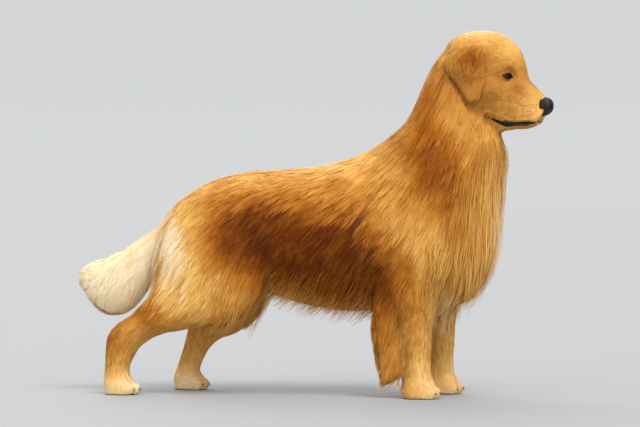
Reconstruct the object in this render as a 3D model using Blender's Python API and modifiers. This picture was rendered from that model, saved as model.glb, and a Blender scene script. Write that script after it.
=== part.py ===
"""A life-size golden retriever, standing still in a show stance, as solids that meet without overlap.

The coat's outer surface is modelled, out to the tips of the hair. The body is lofted from rings, joined
into one skin, cut into the parts that a person would name, and its head is then turned a little.

Metres, +Z up. The dog faces +X, its left side is +Y, and its paws stand on z = 0.
"""

import math
from collections import namedtuple

import bmesh
import bpy
import numpy as np
from mathutils import Matrix, Vector

# ---- Driving dimensions ------------------------------------------------------------------------------------
CM = 0.01  # rings, outlines and places below are in centimetres
WITHERS_HEIGHT = 60.0  # the height that all the rings below were drawn at
BUILT_HEIGHT = 60.0  # change this one to build a larger or a smaller dog
SIZE = CM * BUILT_HEIGHT / WITHERS_HEIGHT

GAP = 0.0004  # between solids that meet
VOXEL = 0.0042  # the grain at which the lofts are joined
SKIN_TRIANGLES = 3500  # of the joined body, before it is cut

RING_SIDES = 28
STEPS_BETWEEN_RINGS = 5

EYE_RADIUS = 1.2
EYE_SEGMENTS = (12, 8)
EYE_AT = (47.6, 3.75, 76.9)  # the left eyeball's centre
EYE_LOOKS = (0.80, 0.56, -0.20)  # the way the left eye faces

HEAD_TURN = math.radians(-7.0)  # towards the dog's right
NECK_BASE = (27.0, 52.0)  # x and z of the point where the neck starts to turn
NECK_LEAN = math.radians(56.6)  # of the neck's axis above the horizontal
NECK_TURNS_OVER = (8.0, 19.0)  # along that axis, from no turn to the whole turn
TURN_AXIS_X = 33.0

RIGHT_FORELEG_SET_BACK = 2.6

CLAW_LENGTH = 1.7
CLAW_RADIUS = 0.36
CLAW_SIDES = 5

# A ring is a closed section of a limb or of the trunk. It is as long as the way from its first point to its
# second, both (x, z), and half_width to each side of y = side. A larger square makes it boxier, and a larger
# top_heavy makes it wider near its first point than near its second.
Ring = namedtuple("Ring", "first second half_width side square top_heavy", defaults=(0.0, 2.0, 0.0))

# ---- The rings ---------------------------------------------------------------------------------------------
TRUNK = [  # from the rump to the throat, first point on the topline and second on the belly or the chest
    Ring((-38.2, 40.2), (-37.6, 36.5), 3.0),
    Ring((-37.3, 42.6), (-36.6, 33.5), 6.4),
    Ring((-34.6, 46.3), (-33.0, 29.5), 9.6),
    Ring((-30.3, 49.9), (-28.0, 27.0), 11.8),
    Ring((-24.8, 52.6), (-21.5, 26.0), 12.4, top_heavy=0.05),
    Ring((-18.5, 54.1), (-16.0, 25.6), 12.1, top_heavy=0.08),
    Ring((-11.5, 54.7), (-9.5, 24.4), 12.6, top_heavy=0.08),
    Ring((-4.5, 55.2), (-1.5, 22.2), 13.6, top_heavy=0.06),
    Ring((1.5, 55.8), (7.5, 21.0), 14.2, top_heavy=0.04),
    Ring((6.0, 56.9), (19.0, 21.4), 14.3),
    Ring((9.5, 58.0), (31.0, 21.8), 14.0),
    Ring((12.6, 59.3), (38.8, 24.4), 13.4),
    Ring((15.4, 60.9), (43.0, 31.5), 12.8),
    Ring((18.2, 62.7), (44.8, 40.5), 11.8),
    Ring((20.7, 64.9), (45.4, 48.0), 11.0),
    Ring((22.8, 67.9), (46.2, 54.0), 10.2),
    Ring((24.7, 71.6), (46.7, 58.6), 9.4),
    Ring((26.4, 75.6), (45.7, 62.4), 8.7),
    Ring((28.6, 79.6), (43.7, 65.2), 8.0),
    Ring((31.4, 83.0), (41.6, 68.6), 7.1),
    Ring((34.8, 85.0), (40.0, 72.0), 5.6),
]

HEAD = [  # from the nape to the nose, first point on the brow side and second on the jaw side
    Ring((31.8, 83.6), (36.5, 72.6), 5.0),
    Ring((33.6, 86.0), (38.3, 69.8), 6.7, square=2.2),
    Ring((37.2, 87.6), (40.5, 67.6), 7.2, square=2.4, top_heavy=0.05),
    Ring((41.6, 88.0), (43.0, 66.0), 7.2, square=2.5, top_heavy=0.08),
    Ring((46.2, 86.9), (45.4, 64.9), 6.3, square=2.5, top_heavy=0.12),
    Ring((49.6, 84.2), (47.2, 64.5), 4.9, square=2.3, top_heavy=0.10),
    Ring((51.2, 80.6), (48.6, 64.3), 4.2),
    Ring((52.3, 76.6), (49.8, 64.2), 3.8, square=2.3),
    Ring((53.9, 74.6), (51.2, 64.2), 3.6, square=2.5),
    Ring((55.6, 73.0), (52.6, 64.4), 3.4, square=2.6),
    Ring((56.7, 71.6), (54.2, 65.0), 3.05, square=2.6),
    Ring((57.2, 70.2), (55.8, 66.5), 2.3, square=2.4),
]

SHOULDER_AND_FORELEG = [  # the left one from the shoulder blade down, first point on the front
    Ring((30.0, 53.5), (20.0, 54.5), 2.6, 8.6),
    Ring((37.0, 44.5), (18.6, 46.0), 4.4, 9.0),
    Ring((38.6, 37.0), (18.4, 38.0), 4.9, 9.3),
    Ring((36.6, 30.6), (18.6, 31.0), 4.6, 9.4),
    Ring((33.9, 25.4), (20.6, 25.6), 4.0, 9.2),
    Ring((33.0, 19.0), (23.6, 19.0), 3.5, 8.9),
    Ring((32.6, 13.0), (25.3, 12.6), 3.25, 8.7),
    Ring((32.4, 8.6), (25.7, 8.0), 3.15, 8.6),
    Ring((32.6, 5.4), (25.8, 4.8), 3.3, 8.6),
    Ring((33.4, 3.4), (25.4, 2.8), 3.6, 8.6, square=2.4),
    Ring((33.7, 1.4), (25.3, 1.2), 3.7, 8.6, square=2.6),
    Ring((33.3, -0.6), (25.7, -0.6), 3.5, 8.6, square=2.6),
]

FORELEG_FEATHER = [  # the long hair behind the forearm, first point inside the leg
    Ring((26.5, 30.0), (18.8, 28.5), 1.9, 9.6),
    Ring((27.5, 23.5), (17.9, 21.5), 1.7, 9.4),
    Ring((27.5, 17.0), (18.2, 15.0), 1.5, 9.2),
    Ring((27.5, 11.0), (19.2, 9.4), 1.3, 9.0),
    Ring((26.4, 6.6), (20.0, 5.2), 1.0, 8.9),
    Ring((23.0, 4.0), (20.4, 3.0), 0.6, 8.8),
]

THIGH = [  # the left one from the hip to the knee, the same in both hind legs
    Ring((-20.0, 48.5), (-32.0, 47.5), 3.0, 7.0),
    Ring((-13.6, 41.0), (-36.0, 41.5), 4.8, 8.0),
    Ring((-10.6, 33.0), (-37.6, 34.5), 5.4, 8.7),
]

STRETCHED_HIND_LEG = THIGH + [  # the one set further back
    Ring((-11.8, 24.2), (-37.9, 28.2), 5.1, 9.2),
    Ring((-18.6, 17.9), (-40.4, 23.0), 4.4, 9.6),
    Ring((-27.6, 16.4), (-43.8, 19.7), 3.6, 9.8),
    Ring((-35.8, 14.8), (-47.6, 17.2), 3.0, 10.0),
    Ring((-40.8, 12.2), (-50.0, 14.2), 2.8, 10.0),
    Ring((-43.4, 8.8), (-50.5, 9.6), 2.75, 10.0),
    Ring((-44.4, 5.6), (-50.7, 5.6), 2.85, 10.0),
    Ring((-43.4, 3.4), (-50.8, 3.0), 3.3, 10.0, square=2.4),
    Ring((-42.9, 1.4), (-50.6, 1.3), 3.4, 10.0, square=2.6),
    Ring((-43.3, -0.6), (-50.2, -0.6), 3.2, 10.0, square=2.6),
]

GATHERED_HIND_LEG = THIGH + [  # the one set further forward, under the body
    Ring((-13.2, 24.6), (-36.2, 27.6), 5.0, 9.2),
    Ring((-17.4, 17.6), (-34.6, 21.6), 4.2, 9.6),
    Ring((-21.6, 14.6), (-34.8, 17.2), 3.5, 9.8),
    Ring((-26.2, 12.8), (-35.2, 14.0), 3.0, 10.0),
    Ring((-29.2, 10.4), (-36.0, 10.8), 2.75, 10.0),
    Ring((-30.9, 7.4), (-37.2, 7.4), 2.7, 10.0),
    Ring((-31.9, 4.9), (-38.1, 4.5), 2.85, 10.0),
    Ring((-31.0, 3.2), (-38.6, 2.7), 3.3, 10.0, square=2.4),
    Ring((-30.6, 1.4), (-38.5, 1.3), 3.4, 10.0, square=2.6),
    Ring((-31.0, -0.6), (-38.1, -0.6), 3.2, 10.0, square=2.6),
]

TAIL = [  # from the rump to the tip, first point on the dock and second at the feather's lower edge
    Ring((-33.0, 44.5), (-35.0, 37.0), 3.6),
    Ring((-38.6, 41.4), (-38.6, 32.5), 4.0),
    Ring((-43.2, 38.9), (-41.9, 26.0), 4.1, top_heavy=0.1),
    Ring((-47.9, 35.7), (-45.8, 21.2), 3.9, top_heavy=0.1),
    Ring((-52.4, 33.5), (-50.2, 19.4), 3.5, top_heavy=0.1),
    Ring((-56.5, 32.2), (-54.6, 20.4), 2.9, top_heavy=0.1),
    Ring((-59.4, 30.6), (-58.0, 23.4), 2.1),
    Ring((-60.6, 28.6), (-60.2, 26.6), 0.9),
]

EAR = [  # the left flap, from its fold to its tip, first point on its front edge
    Ring((41.6, 84.4), (37.6, 84.0), 0.60, 4.8),
    Ring((42.9, 84.1), (35.9, 83.3), 0.75, 6.9),
    Ring((43.9, 81.4), (33.7, 80.6), 0.80, 8.2),
    Ring((44.1, 78.2), (34.4, 77.8), 0.75, 8.8),
    Ring((43.9, 75.2), (36.3, 75.0), 0.70, 8.8),
    Ring((43.2, 72.7), (38.0, 72.4), 0.60, 8.6),
    Ring((42.4, 71.2), (39.8, 70.9), 0.50, 8.4),
]

NOSE = [  # the bare leather at the end of the muzzle, first point on its top
    Ring((55.3, 72.4), (54.9, 70.4), 1.45, 0.0),
    Ring((56.6, 72.3), (55.6, 68.5), 1.9, 0.0, 2.4, 0.12),
    Ring((57.6, 71.5), (56.5, 67.6), 1.9, 0.0, 2.4, 0.18),
    Ring((58.3, 70.2), (57.7, 68.0), 1.3, 0.0, 2.2, 0.18),
]

# Ellipsoids that round out the skull, each as centre and radii. Those with a y are made on both sides.
HEAD_MASSES = [
    ((43.6, 4.5, 74.0), (4.2, 2.9, 4.4)),  # cheek
    ((47.9, 2.9, 80.0), (2.6, 2.2, 1.9)),  # brow
    ((52.0, 2.3, 67.4), (3.9, 1.75, 2.6)),  # flews
    ((46.5, 0.0, 66.0), (4.8, 3.4, 2.2)),  # lower jaw
]

# Toes of a left paw as (forward of the paw's centre, outward), largest in the middle.
TOES = [(2.3, -2.3), (3.3, -0.82), (3.35, 0.8), (2.4, 2.25)]
TOE_RADII = (1.95, 1.05, 1.65)
TOE_HEIGHT = 1.45
PAWS = {  # centre x and centre y of each paw
    "front_paw_left": (29.6, 8.6),
    "front_paw_right": (29.6 - RIGHT_FORELEG_SET_BACK, -8.6),
    "hind_paw_left": (-34.6, 10.0),
    "hind_paw_right": (-46.8, -10.0),
}

# ---- The cuts ----------------------------------------------------------------------------------------------
# Each part is what lies inside an outline in x and z, between two values of y, of the piece it is cut from.
Cut = namedtuple("Cut", "name source outline inner outer")
WIDE = 40.0
BOTH_SIDES = (-WIDE, WIDE)
MOUTH_LINE = [(41, 68.3), (43.6, 67.3), (46.1, 66.1), (48.6, 65.1), (51.1, 64.8), (54.1, 65.1), (57.6, 66.2)]
NECK_OUTLINE = [(10.0, 72.4), (56.0, 42.0), (66.0, 66.0), (40.0, 99.0), (10.0, 99.0)]
TAIL_OUTLINE = [(-36.2, 46.0), (-38.8, 36.0), (-38.2, 14.0), (-70.0, 14.0), (-70.0, 50.0)]
SHOULDER_OUTLINE = [(24, 54), (34, 50), (41, 42), (41, 29), (37, 24), (17, 24), (16, 42)]
FEATHER_OUTLINE = [(25.2, 22.4), (26.0, 4.0), (22.0, 0.4), (14.0, 0.4), (14.0, 22.4)]
RIGHT_THIGH_OUTLINE = [(-20, 50), (-8, 40), (-8, 17), (-24, 12), (-38.4, 22), (-45, 24), (-38.6, 48)]
LEFT_THIGH_OUTLINE = [(-20, 50), (-8, 40), (-8, 16), (-18, 12.6), (-33.4, 21.6), (-42, 25), (-38.6, 48)]
RIGHT_HOCK_OUTLINE = [(-16.0, 14.0), (-40, 25), (-54.0, 25.0), (-54.0, 4.4), (-16.0, 4.4)]
LEFT_HOCK_OUTLINE = [(-12.0, 14.0), (-33, 26), (-44.0, 24.0), (-44.0, 4.2), (-12.0, 4.2)]

MIDLINE_CUTS = [
    Cut("head", "trunk", [(19.0, 97.0), (46.6, 64.2), (68.0, 60.0), (68.0, 97.0)], *BOTH_SIDES),
    Cut("lower_jaw", "head", MOUTH_LINE + [(62.0, 60.0), (44.0, 56.0), (39.0, 66.4)], *BOTH_SIDES),
    Cut("neck", "trunk", NECK_OUTLINE, *BOTH_SIDES),
    Cut("tail", "trunk", TAIL_OUTLINE, -6.0, 6.0),
]
LEG_CUTS = [  # for the left side, and mirrored for the right
    Cut("shoulder", "trunk", SHOULDER_OUTLINE, 5.6, WIDE),
    Cut("foreleg_feather", "trunk", FEATHER_OUTLINE, 6.2, WIDE),
    Cut("foreleg", "trunk", [(38.0, 23.6), (38.0, 4.6), (20.0, 4.6), (20.0, 23.6)], 4.4, WIDE),
    Cut("front_paw", "trunk", [(40.0, 4.2), (40.0, -3.0), (20.0, -3.0), (20.0, 4.2)], 3.0, WIDE),
]
HIND_CUTS = {  # the hind legs stand differently, so each side has its own outlines
    "right": [
        Cut("thigh", "trunk", RIGHT_THIGH_OUTLINE, 4.0, WIDE),
        Cut("hind_leg", "trunk", RIGHT_HOCK_OUTLINE, 3.0, WIDE),
        Cut("hind_paw", "trunk", [(-32.0, 4.0), (-54.0, 4.0), (-54.0, -3.0), (-32.0, -3.0)], 3.0, WIDE),
    ],
    "left": [
        Cut("thigh", "trunk", LEFT_THIGH_OUTLINE, 4.0, WIDE),
        Cut("hind_leg", "trunk", LEFT_HOCK_OUTLINE, 3.0, WIDE),
        Cut("hind_paw", "trunk", [(-20.0, 3.8), (-44.0, 3.8), (-44.0, -3.0), (-20.0, -3.0)], 3.0, WIDE),
    ],
}

# ---- Colours (linear RGB) and roughness --------------------------------------------------------------------
GOLD = ("golden_coat", (0.62, 0.30, 0.09), 0.75)
DEEP_GOLD = ("deep_gold_coat", (0.42, 0.16, 0.035), 0.75)
CREAM = ("cream_coat", (0.82, 0.62, 0.34), 0.8)
LEATHER = ("nose_leather", (0.03, 0.022, 0.02), 0.4)
EYE_BROWN = ("eye_brown", (0.03, 0.012, 0.006), 0.08)
CLAW_HORN = ("claw_horn", (0.09, 0.06, 0.045), 0.35)
FINISHES = {
    "head": GOLD,
    "lower_jaw": GOLD,
    "neck": GOLD,
    "trunk": GOLD,
    "tail": CREAM,
    "shoulder": GOLD,
    "foreleg": GOLD,
    "foreleg_feather": CREAM,
    "front_paw": CREAM,
    "thigh": GOLD,
    "hind_leg": GOLD,
    "hind_paw": CREAM,
    "ear": DEEP_GOLD,
}


# ---- Tools -------------------------------------------------------------------------------------------------
def clear_scene():
    for obj in list(bpy.data.objects):
        bpy.data.objects.remove(obj)


def collection(name):
    made = bpy.data.collections.new(name)
    bpy.context.scene.collection.children.link(made)
    return made


def material(finish):
    """The Principled material of that name, colour and roughness, made once."""
    name, colour, roughness = finish
    found = bpy.data.materials.get(name)
    if found:
        return found
    made = bpy.data.materials.new(name)
    made.use_nodes = True
    shader = made.node_tree.nodes["Principled BSDF"]
    shader.inputs["Base Color"].default_value = (*colour, 1.0)
    shader.inputs["Roughness"].default_value = roughness
    shader.inputs["Metallic"].default_value = 0.0
    made.diffuse_color = (*colour, 1.0)
    return made


def in_metres(x, y, z):
    return Vector((x, y, z)) * SIZE


def add_object(name, mesh, home):
    obj = bpy.data.objects.new(name, mesh)
    home.objects.link(obj)
    return obj


def object_from(name, bm, home):
    mesh = bpy.data.meshes.new(name)
    bm.to_mesh(mesh)
    bm.free()
    return add_object(name, mesh, home)


def smooth_through(values, steps):
    """Rows of numbers made denser by a Catmull-Rom curve through them."""
    padded = np.vstack([values[0], values, values[-1]])
    rows = []
    for start in range(len(values) - 1):
        before, here, there, after = padded[start : start + 4]
        for t in np.arange(steps) / steps:
            rows.append(
                0.5
                * (
                    2 * here
                    + (there - before) * t
                    + (2 * before - 5 * here + 4 * there - after) * t**2
                    + (3 * here - before - 3 * there + after) * t**3
                )
            )
    return np.vstack([*rows, values[-1]])


def signed_power(value, power):
    return math.copysign(abs(value) ** power, value)


def loft(name, rings, home, side=1, sides=RING_SIDES, steps=STEPS_BETWEEN_RINGS, set_back=0.0):
    """A closed body through the rings. side is -1 for the mirror image, on the dog's right."""
    table = np.array([[*r.first, *r.second, r.half_width, r.side, r.square, r.top_heavy] for r in rings])
    bm = bmesh.new()
    loops = []
    for x1, z1, x2, z2, half_width, y, square, top_heavy in smooth_through(table, steps):
        loop = []
        for step in range(sides):
            angle = 2 * math.pi * step / sides
            along = signed_power(math.cos(angle), 2 / square)
            across = signed_power(math.sin(angle), 2 / square) * (1 + top_heavy * along)
            share = (1 - along) / 2
            x = x1 + (x2 - x1) * share - set_back
            z = z1 + (z2 - z1) * share
            loop.append(bm.verts.new(in_metres(x, side * (y + half_width * across), z)))
        loops.append(loop)
    for lower, upper in zip(loops, loops[1:]):
        for step in range(sides):
            after = (step + 1) % sides
            bm.faces.new((lower[step], lower[after], upper[after], upper[step]))
    bm.faces.new(loops[0])
    bm.faces.new(loops[-1])
    bmesh.ops.recalc_face_normals(bm, faces=bm.faces)
    return object_from(name, bm, home)


def ellipsoid(name, centre, radii, home, segments=24, rings=16):
    bm = bmesh.new()
    bmesh.ops.create_uvsphere(bm, u_segments=segments, v_segments=rings, radius=1.0)
    bmesh.ops.scale(bm, vec=Vector(radii) * SIZE, verts=bm.verts)
    bmesh.ops.translate(bm, vec=in_metres(*centre), verts=bm.verts)
    return object_from(name, bm, home)


def applied(obj):
    """Gives obj the mesh that its modifiers make, and removes them."""
    graph = bpy.context.evaluated_depsgraph_get()
    mesh = bpy.data.meshes.new_from_object(obj.evaluated_get(graph))
    obj.modifiers.clear()
    obj.data = mesh
    return obj


def joined(name, objects, home):
    """One object that holds all of these objects' faces."""
    bm = bmesh.new()
    for obj in objects:
        bm.from_mesh(obj.data)
        bpy.data.objects.remove(obj)
    return object_from(name, bm, home)


def boolean(obj, cutter, operation):
    modifier = obj.modifiers.new(operation.title(), "BOOLEAN")
    modifier.operation = operation
    modifier.solver = "EXACT"
    modifier.object = cutter
    applied(obj)


def copy_of(obj, name, home):
    return add_object(name, obj.data.copy(), home)


def widened(outline, margin):
    """The outline's points in metres, with each of its edges moved outwards by margin metres."""
    points = np.array(outline, float) * SIZE
    ahead = np.roll(points, -1, axis=0)
    clockwise = np.sum(points[:, 0] * ahead[:, 1] - ahead[:, 0] * points[:, 1]) < 0
    edges = (ahead - points) / np.linalg.norm(ahead - points, axis=1)[:, None]
    normals = np.stack([edges[:, 1], -edges[:, 0]], axis=1) * (-1 if clockwise else 1)
    before = np.roll(normals, 1, axis=0)
    mitre = (normals + before) / (1 + np.sum(normals * before, axis=1))[:, None]
    return points + mitre * margin


def prism(name, outline, inner, outer, margin, home):
    """The outline in x and z, carried from y = inner to y = outer, and larger all round by margin metres."""
    low, high = sorted((inner * SIZE, outer * SIZE))
    bm = bmesh.new()
    face = bm.faces.new([bm.verts.new((x, low - margin, z)) for x, z in widened(outline, margin)])
    made = bmesh.ops.extrude_face_region(bm, geom=[face])
    top = [v for v in made["geom"] if isinstance(v, bmesh.types.BMVert)]
    bmesh.ops.translate(bm, vec=(0, high - low + 2 * margin, 0), verts=top)
    bmesh.ops.recalc_face_normals(bm, faces=bm.faces)
    cutter = object_from(name, bm, home)
    cutter.hide_render = True
    return cutter


def largest_body(obj):
    """Keeps only the largest of the separate bodies that a cut left."""
    bm = bmesh.new()
    bm.from_mesh(obj.data)
    left = set(bm.verts)
    bodies = []
    while left:
        reached = [left.pop()]
        for vert in reached:
            for edge in vert.link_edges:
                other = edge.other_vert(vert)
                if other in left:
                    left.remove(other)
                    reached.append(other)
        bodies.append(reached)
    bodies.sort(key=len)
    for body in bodies[:-1]:
        bmesh.ops.delete(bm, geom=body, context="VERTS")
    bm.to_mesh(obj.data)
    bm.free()


def cut_out(cut, nodes, home, helpers):
    """Takes the part inside the cut's outline off its source, with a gap between the two."""
    source = nodes[cut.source]
    inside = prism("inside", cut.outline, cut.inner, cut.outer, 0.0, helpers)
    around = prism("around", cut.outline, cut.inner, cut.outer, GAP, helpers)
    part = copy_of(source, cut.name, home)
    boolean(part, inside, "INTERSECT")
    boolean(source, around, "DIFFERENCE")
    largest_body(part)
    nodes[cut.name] = part
    bpy.data.objects.remove(inside)
    bpy.data.objects.remove(around)


# ---- The body ----------------------------------------------------------------------------------------------
def toes(paw, home):
    """The four toes of a paw."""
    centre_x, centre_y = PAWS[paw]
    side = math.copysign(1, centre_y)
    return [
        ellipsoid("toe", (centre_x + ahead, centre_y + side * outward, TOE_HEIGHT), TOE_RADII, home)
        for ahead, outward in TOES
    ]


def body_lofts(home):
    """Every loft and ellipsoid that the body is joined from."""
    made = [loft("trunk", TRUNK, home), loft("head", HEAD, home), loft("tail", TAIL, home)]
    for side, set_back in ((1, 0.0), (-1, RIGHT_FORELEG_SET_BACK)):
        made.append(loft("foreleg", SHOULDER_AND_FORELEG, home, side, set_back=set_back))
        made.append(loft("feather", FORELEG_FEATHER, home, side, set_back=set_back))
    made.append(loft("hind_leg", GATHERED_HIND_LEG, home, 1))
    made.append(loft("hind_leg", STRETCHED_HIND_LEG, home, -1))
    for (x, y, z), radii in HEAD_MASSES:
        for side in (1, -1) if y else (1,):
            made.append(ellipsoid("mass", (x, side * y, z), radii, home))
    for paw in PAWS:
        made += toes(paw, home)
    return made


def join_body(home):
    """The lofts as one smooth closed surface, standing flat on z = 0."""
    body = joined("trunk", body_lofts(home), home)
    remesh = body.modifiers.new("Remesh", "REMESH")
    remesh.mode = "VOXEL"
    remesh.voxel_size = VOXEL
    smooth = body.modifiers.new("Smooth", "SMOOTH")
    smooth.factor = 0.5
    smooth.iterations = 3
    applied(body)
    decimate = body.modifiers.new("Decimate", "DECIMATE")
    body.data.calc_loop_triangles()
    decimate.ratio = SKIN_TRIANGLES / len(body.data.loop_triangles)
    applied(body)
    bm = bmesh.new()
    bm.from_mesh(body.data)
    floor = bmesh.ops.bisect_plane(
        bm, geom=[*bm.verts, *bm.edges, *bm.faces], plane_co=(0, 0, 0), plane_no=(0, 0, -1), clear_outer=True
    )
    rim = [edge for edge in floor["geom_cut"] if isinstance(edge, bmesh.types.BMEdge)]
    bmesh.ops.edgenet_fill(bm, edges=rim)
    bmesh.ops.triangulate(bm, faces=bm.faces)
    bmesh.ops.recalc_face_normals(bm, faces=bm.faces)
    bm.to_mesh(body.data)
    bm.free()
    return body


def eye_frame(side):
    """The eyeball's centre, and a matrix whose Z axis is the way it looks."""
    x, y, z = EYE_AT
    look_x, look_y, look_z = EYE_LOOKS
    centre = in_metres(x, side * y, z)
    turn = Vector((look_x, side * look_y, look_z)).to_track_quat("Z", "Y").to_matrix().to_4x4()
    return centre, Matrix.Translation(centre) @ turn


def open_eyes(body, helpers):
    """Cuts each eye's socket, and the opening between its lids, into the head."""
    for side in (1, -1):
        centre, frame = eye_frame(side)
        socket = ellipsoid("socket", (0, 0, 0), (EYE_RADIUS,) * 3, helpers, *EYE_SEGMENTS)
        bm = bmesh.new()
        bm.from_mesh(socket.data)
        bmesh.ops.scale(bm, vec=(1 + GAP / (EYE_RADIUS * SIZE),) * 3, verts=bm.verts)
        bmesh.ops.transform(bm, matrix=frame, verts=bm.verts)
        bm.to_mesh(socket.data)
        bm.free()
        boolean(body, socket, "DIFFERENCE")
        bpy.data.objects.remove(socket)
        opening = bmesh.new()
        bmesh.ops.create_cone(
            opening,
            cap_ends=True,
            segments=14,
            radius1=0.62 * EYE_RADIUS * SIZE,
            radius2=1.5 * EYE_RADIUS * SIZE,
            depth=2.4 * EYE_RADIUS * SIZE,
        )
        bmesh.ops.scale(opening, vec=(1.0, 0.62, 1.0), verts=opening.verts)
        bmesh.ops.translate(opening, vec=(0, 0, 1.75 * EYE_RADIUS * SIZE), verts=opening.verts)
        bmesh.ops.transform(opening, matrix=frame, verts=opening.verts)
        lids = object_from("opening", opening, helpers)
        lids.hide_render = True
        boolean(body, lids, "DIFFERENCE")
        bpy.data.objects.remove(lids)


def add_eyes(nodes, home):
    for label, side in (("left", 1), ("right", -1)):
        eye = ellipsoid(f"eye_{label}", (0, 0, 0), (EYE_RADIUS,) * 3, home, *EYE_SEGMENTS)
        eye.data.transform(eye_frame(side)[1])
        nodes[eye.name] = eye


def seat(obj, body, away):
    """Cuts obj back to where it meets the body, and moves it off the body a little."""
    boolean(obj, body, "DIFFERENCE")
    largest_body(obj)
    obj.data.transform(Matrix.Translation(Vector(away).normalized() * 1.6 * GAP))


def add_ears_and_nose(nodes, body, home):
    for label, side in (("left", 1), ("right", -1)):
        ear = loft(f"ear_{label}", EAR, home, side, sides=12, steps=2)
        seat(ear, body, (0, side, 0))
        nodes[ear.name] = ear
    nose = loft("nose", NOSE, home, sides=12, steps=2)
    seat(nose, body, (1, 0, 0.3))
    nodes["nose"] = nose


def claw(name, tip_x, y, home):
    """A short curved horn that leaves the toe's end and points forwards and down."""
    rings = []
    for step in range(4):
        along = step / 3
        radius = CLAW_RADIUS * (1 - 0.72 * along**1.5)
        x = tip_x - 0.9 + CLAW_LENGTH * math.sin(along * 1.1)
        z = TOE_HEIGHT + 0.35 - CLAW_LENGTH * 0.75 * (1 - math.cos(along * 1.1))
        rings.append(Ring((x + 0.3 * radius, z + radius), (x - 0.3 * radius, z - radius), radius * 0.8, y))
    return loft(name, rings, home, sides=CLAW_SIDES, steps=1)


def add_claws(nodes, body, home):
    for paw, (centre_x, centre_y) in PAWS.items():
        side = math.copysign(1, centre_y)
        for number, (ahead, outward) in enumerate(TOES, start=1):
            made = claw(
                f"{paw}_claw_{number}", centre_x + ahead + TOE_RADII[0], centre_y + side * outward, home
            )
            seat(made, body, (1, 0, 0.2))
            nodes[made.name] = made


def part_body(nodes, home, helpers):
    """Cuts the joined body into its named parts."""
    for cut in MIDLINE_CUTS:
        cut_out(cut, nodes, home, helpers)
    for label, side, set_back in (("left", 1, 0.0), ("right", -1, RIGHT_FORELEG_SET_BACK)):
        fore = [cut._replace(outline=[(x - set_back, z) for x, z in cut.outline]) for cut in LEG_CUTS]
        for cut in fore + HIND_CUTS[label]:
            own = cut._replace(name=f"{cut.name}_{label}", inner=side * cut.inner, outer=side * cut.outer)
            cut_out(own, nodes, home, helpers)
    largest_body(nodes["trunk"])


# ---- The pose ----------------------------------------------------------------------------------------------
def turn_head(nodes):
    """Turns the neck and the head about the vertical, more and more along the neck."""
    start, whole = (NECK_TURNS_OVER[0] * SIZE, NECK_TURNS_OVER[1] * SIZE)
    lean = Vector((math.cos(NECK_LEAN), 0, math.sin(NECK_LEAN)))
    base = in_metres(NECK_BASE[0], 0, NECK_BASE[1])
    for obj in nodes.values():
        if obj.name.startswith(("head", "lower_jaw", "neck", "ear", "eye", "nose")):
            for vert in obj.data.vertices:
                along = ((vert.co - base).dot(lean) - start) / (whole - start)
                along = min(max(along, 0.0), 1.0)
                angle = HEAD_TURN * along * along * (3 - 2 * along)
                pivot = Vector((TURN_AXIS_X * SIZE, 0, 0))
                vert.co = Matrix.Rotation(angle, 3, "Z") @ (vert.co - pivot) + pivot


def centre_on_origin(nodes):
    """Moves every node alike, so that the origin is under the middle of the dog's box."""
    corners = np.array([v.co for obj in nodes.values() for v in obj.data.vertices])
    middle = (corners.min(axis=0) + corners.max(axis=0)) / 2
    for obj in nodes.values():
        obj.data.transform(Matrix.Translation((-middle[0], -middle[1], 0)))


def finish_of(name):
    if name.startswith("eye"):
        return EYE_BROWN
    if name == "nose":
        return LEATHER
    if "claw" in name:
        return CLAW_HORN
    return FINISHES[name.removesuffix("_left").removesuffix("_right")]


def give_finishes(nodes):
    for obj in nodes.values():
        obj.data.materials.clear()
        obj.data.materials.append(material(finish_of(obj.name)))


def main():
    clear_scene()
    home = collection("golden_retriever")
    helpers = collection("cutters")
    body = join_body(home)
    open_eyes(body, helpers)
    nodes = {"trunk": body}
    add_ears_and_nose(nodes, body, home)
    add_claws(nodes, body, home)
    part_body(nodes, home, helpers)
    add_eyes(nodes, home)
    turn_head(nodes)
    centre_on_origin(nodes)
    give_finishes(nodes)


main()
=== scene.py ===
"""A golden retriever's skin, coat, eyes, nose, whiskers and claws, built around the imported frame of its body.

The file is laid out as an add-on whose panel lists each piece, and main() makes them all in order. The lips
and the lids are shaped in the skin. The coat is thousands of thin locks, each a closed three-sided blade
combed over the skin. Metres, +Z up, and the dog faces +X.
"""

import math
from collections import namedtuple

import bmesh
import bpy
import numpy as np
from bpy.props import FloatProperty, FloatVectorProperty, IntProperty, PointerProperty
from mathutils import Matrix, Vector
from mathutils.bvhtree import BVHTree
from mathutils.kdtree import KDTree


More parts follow.
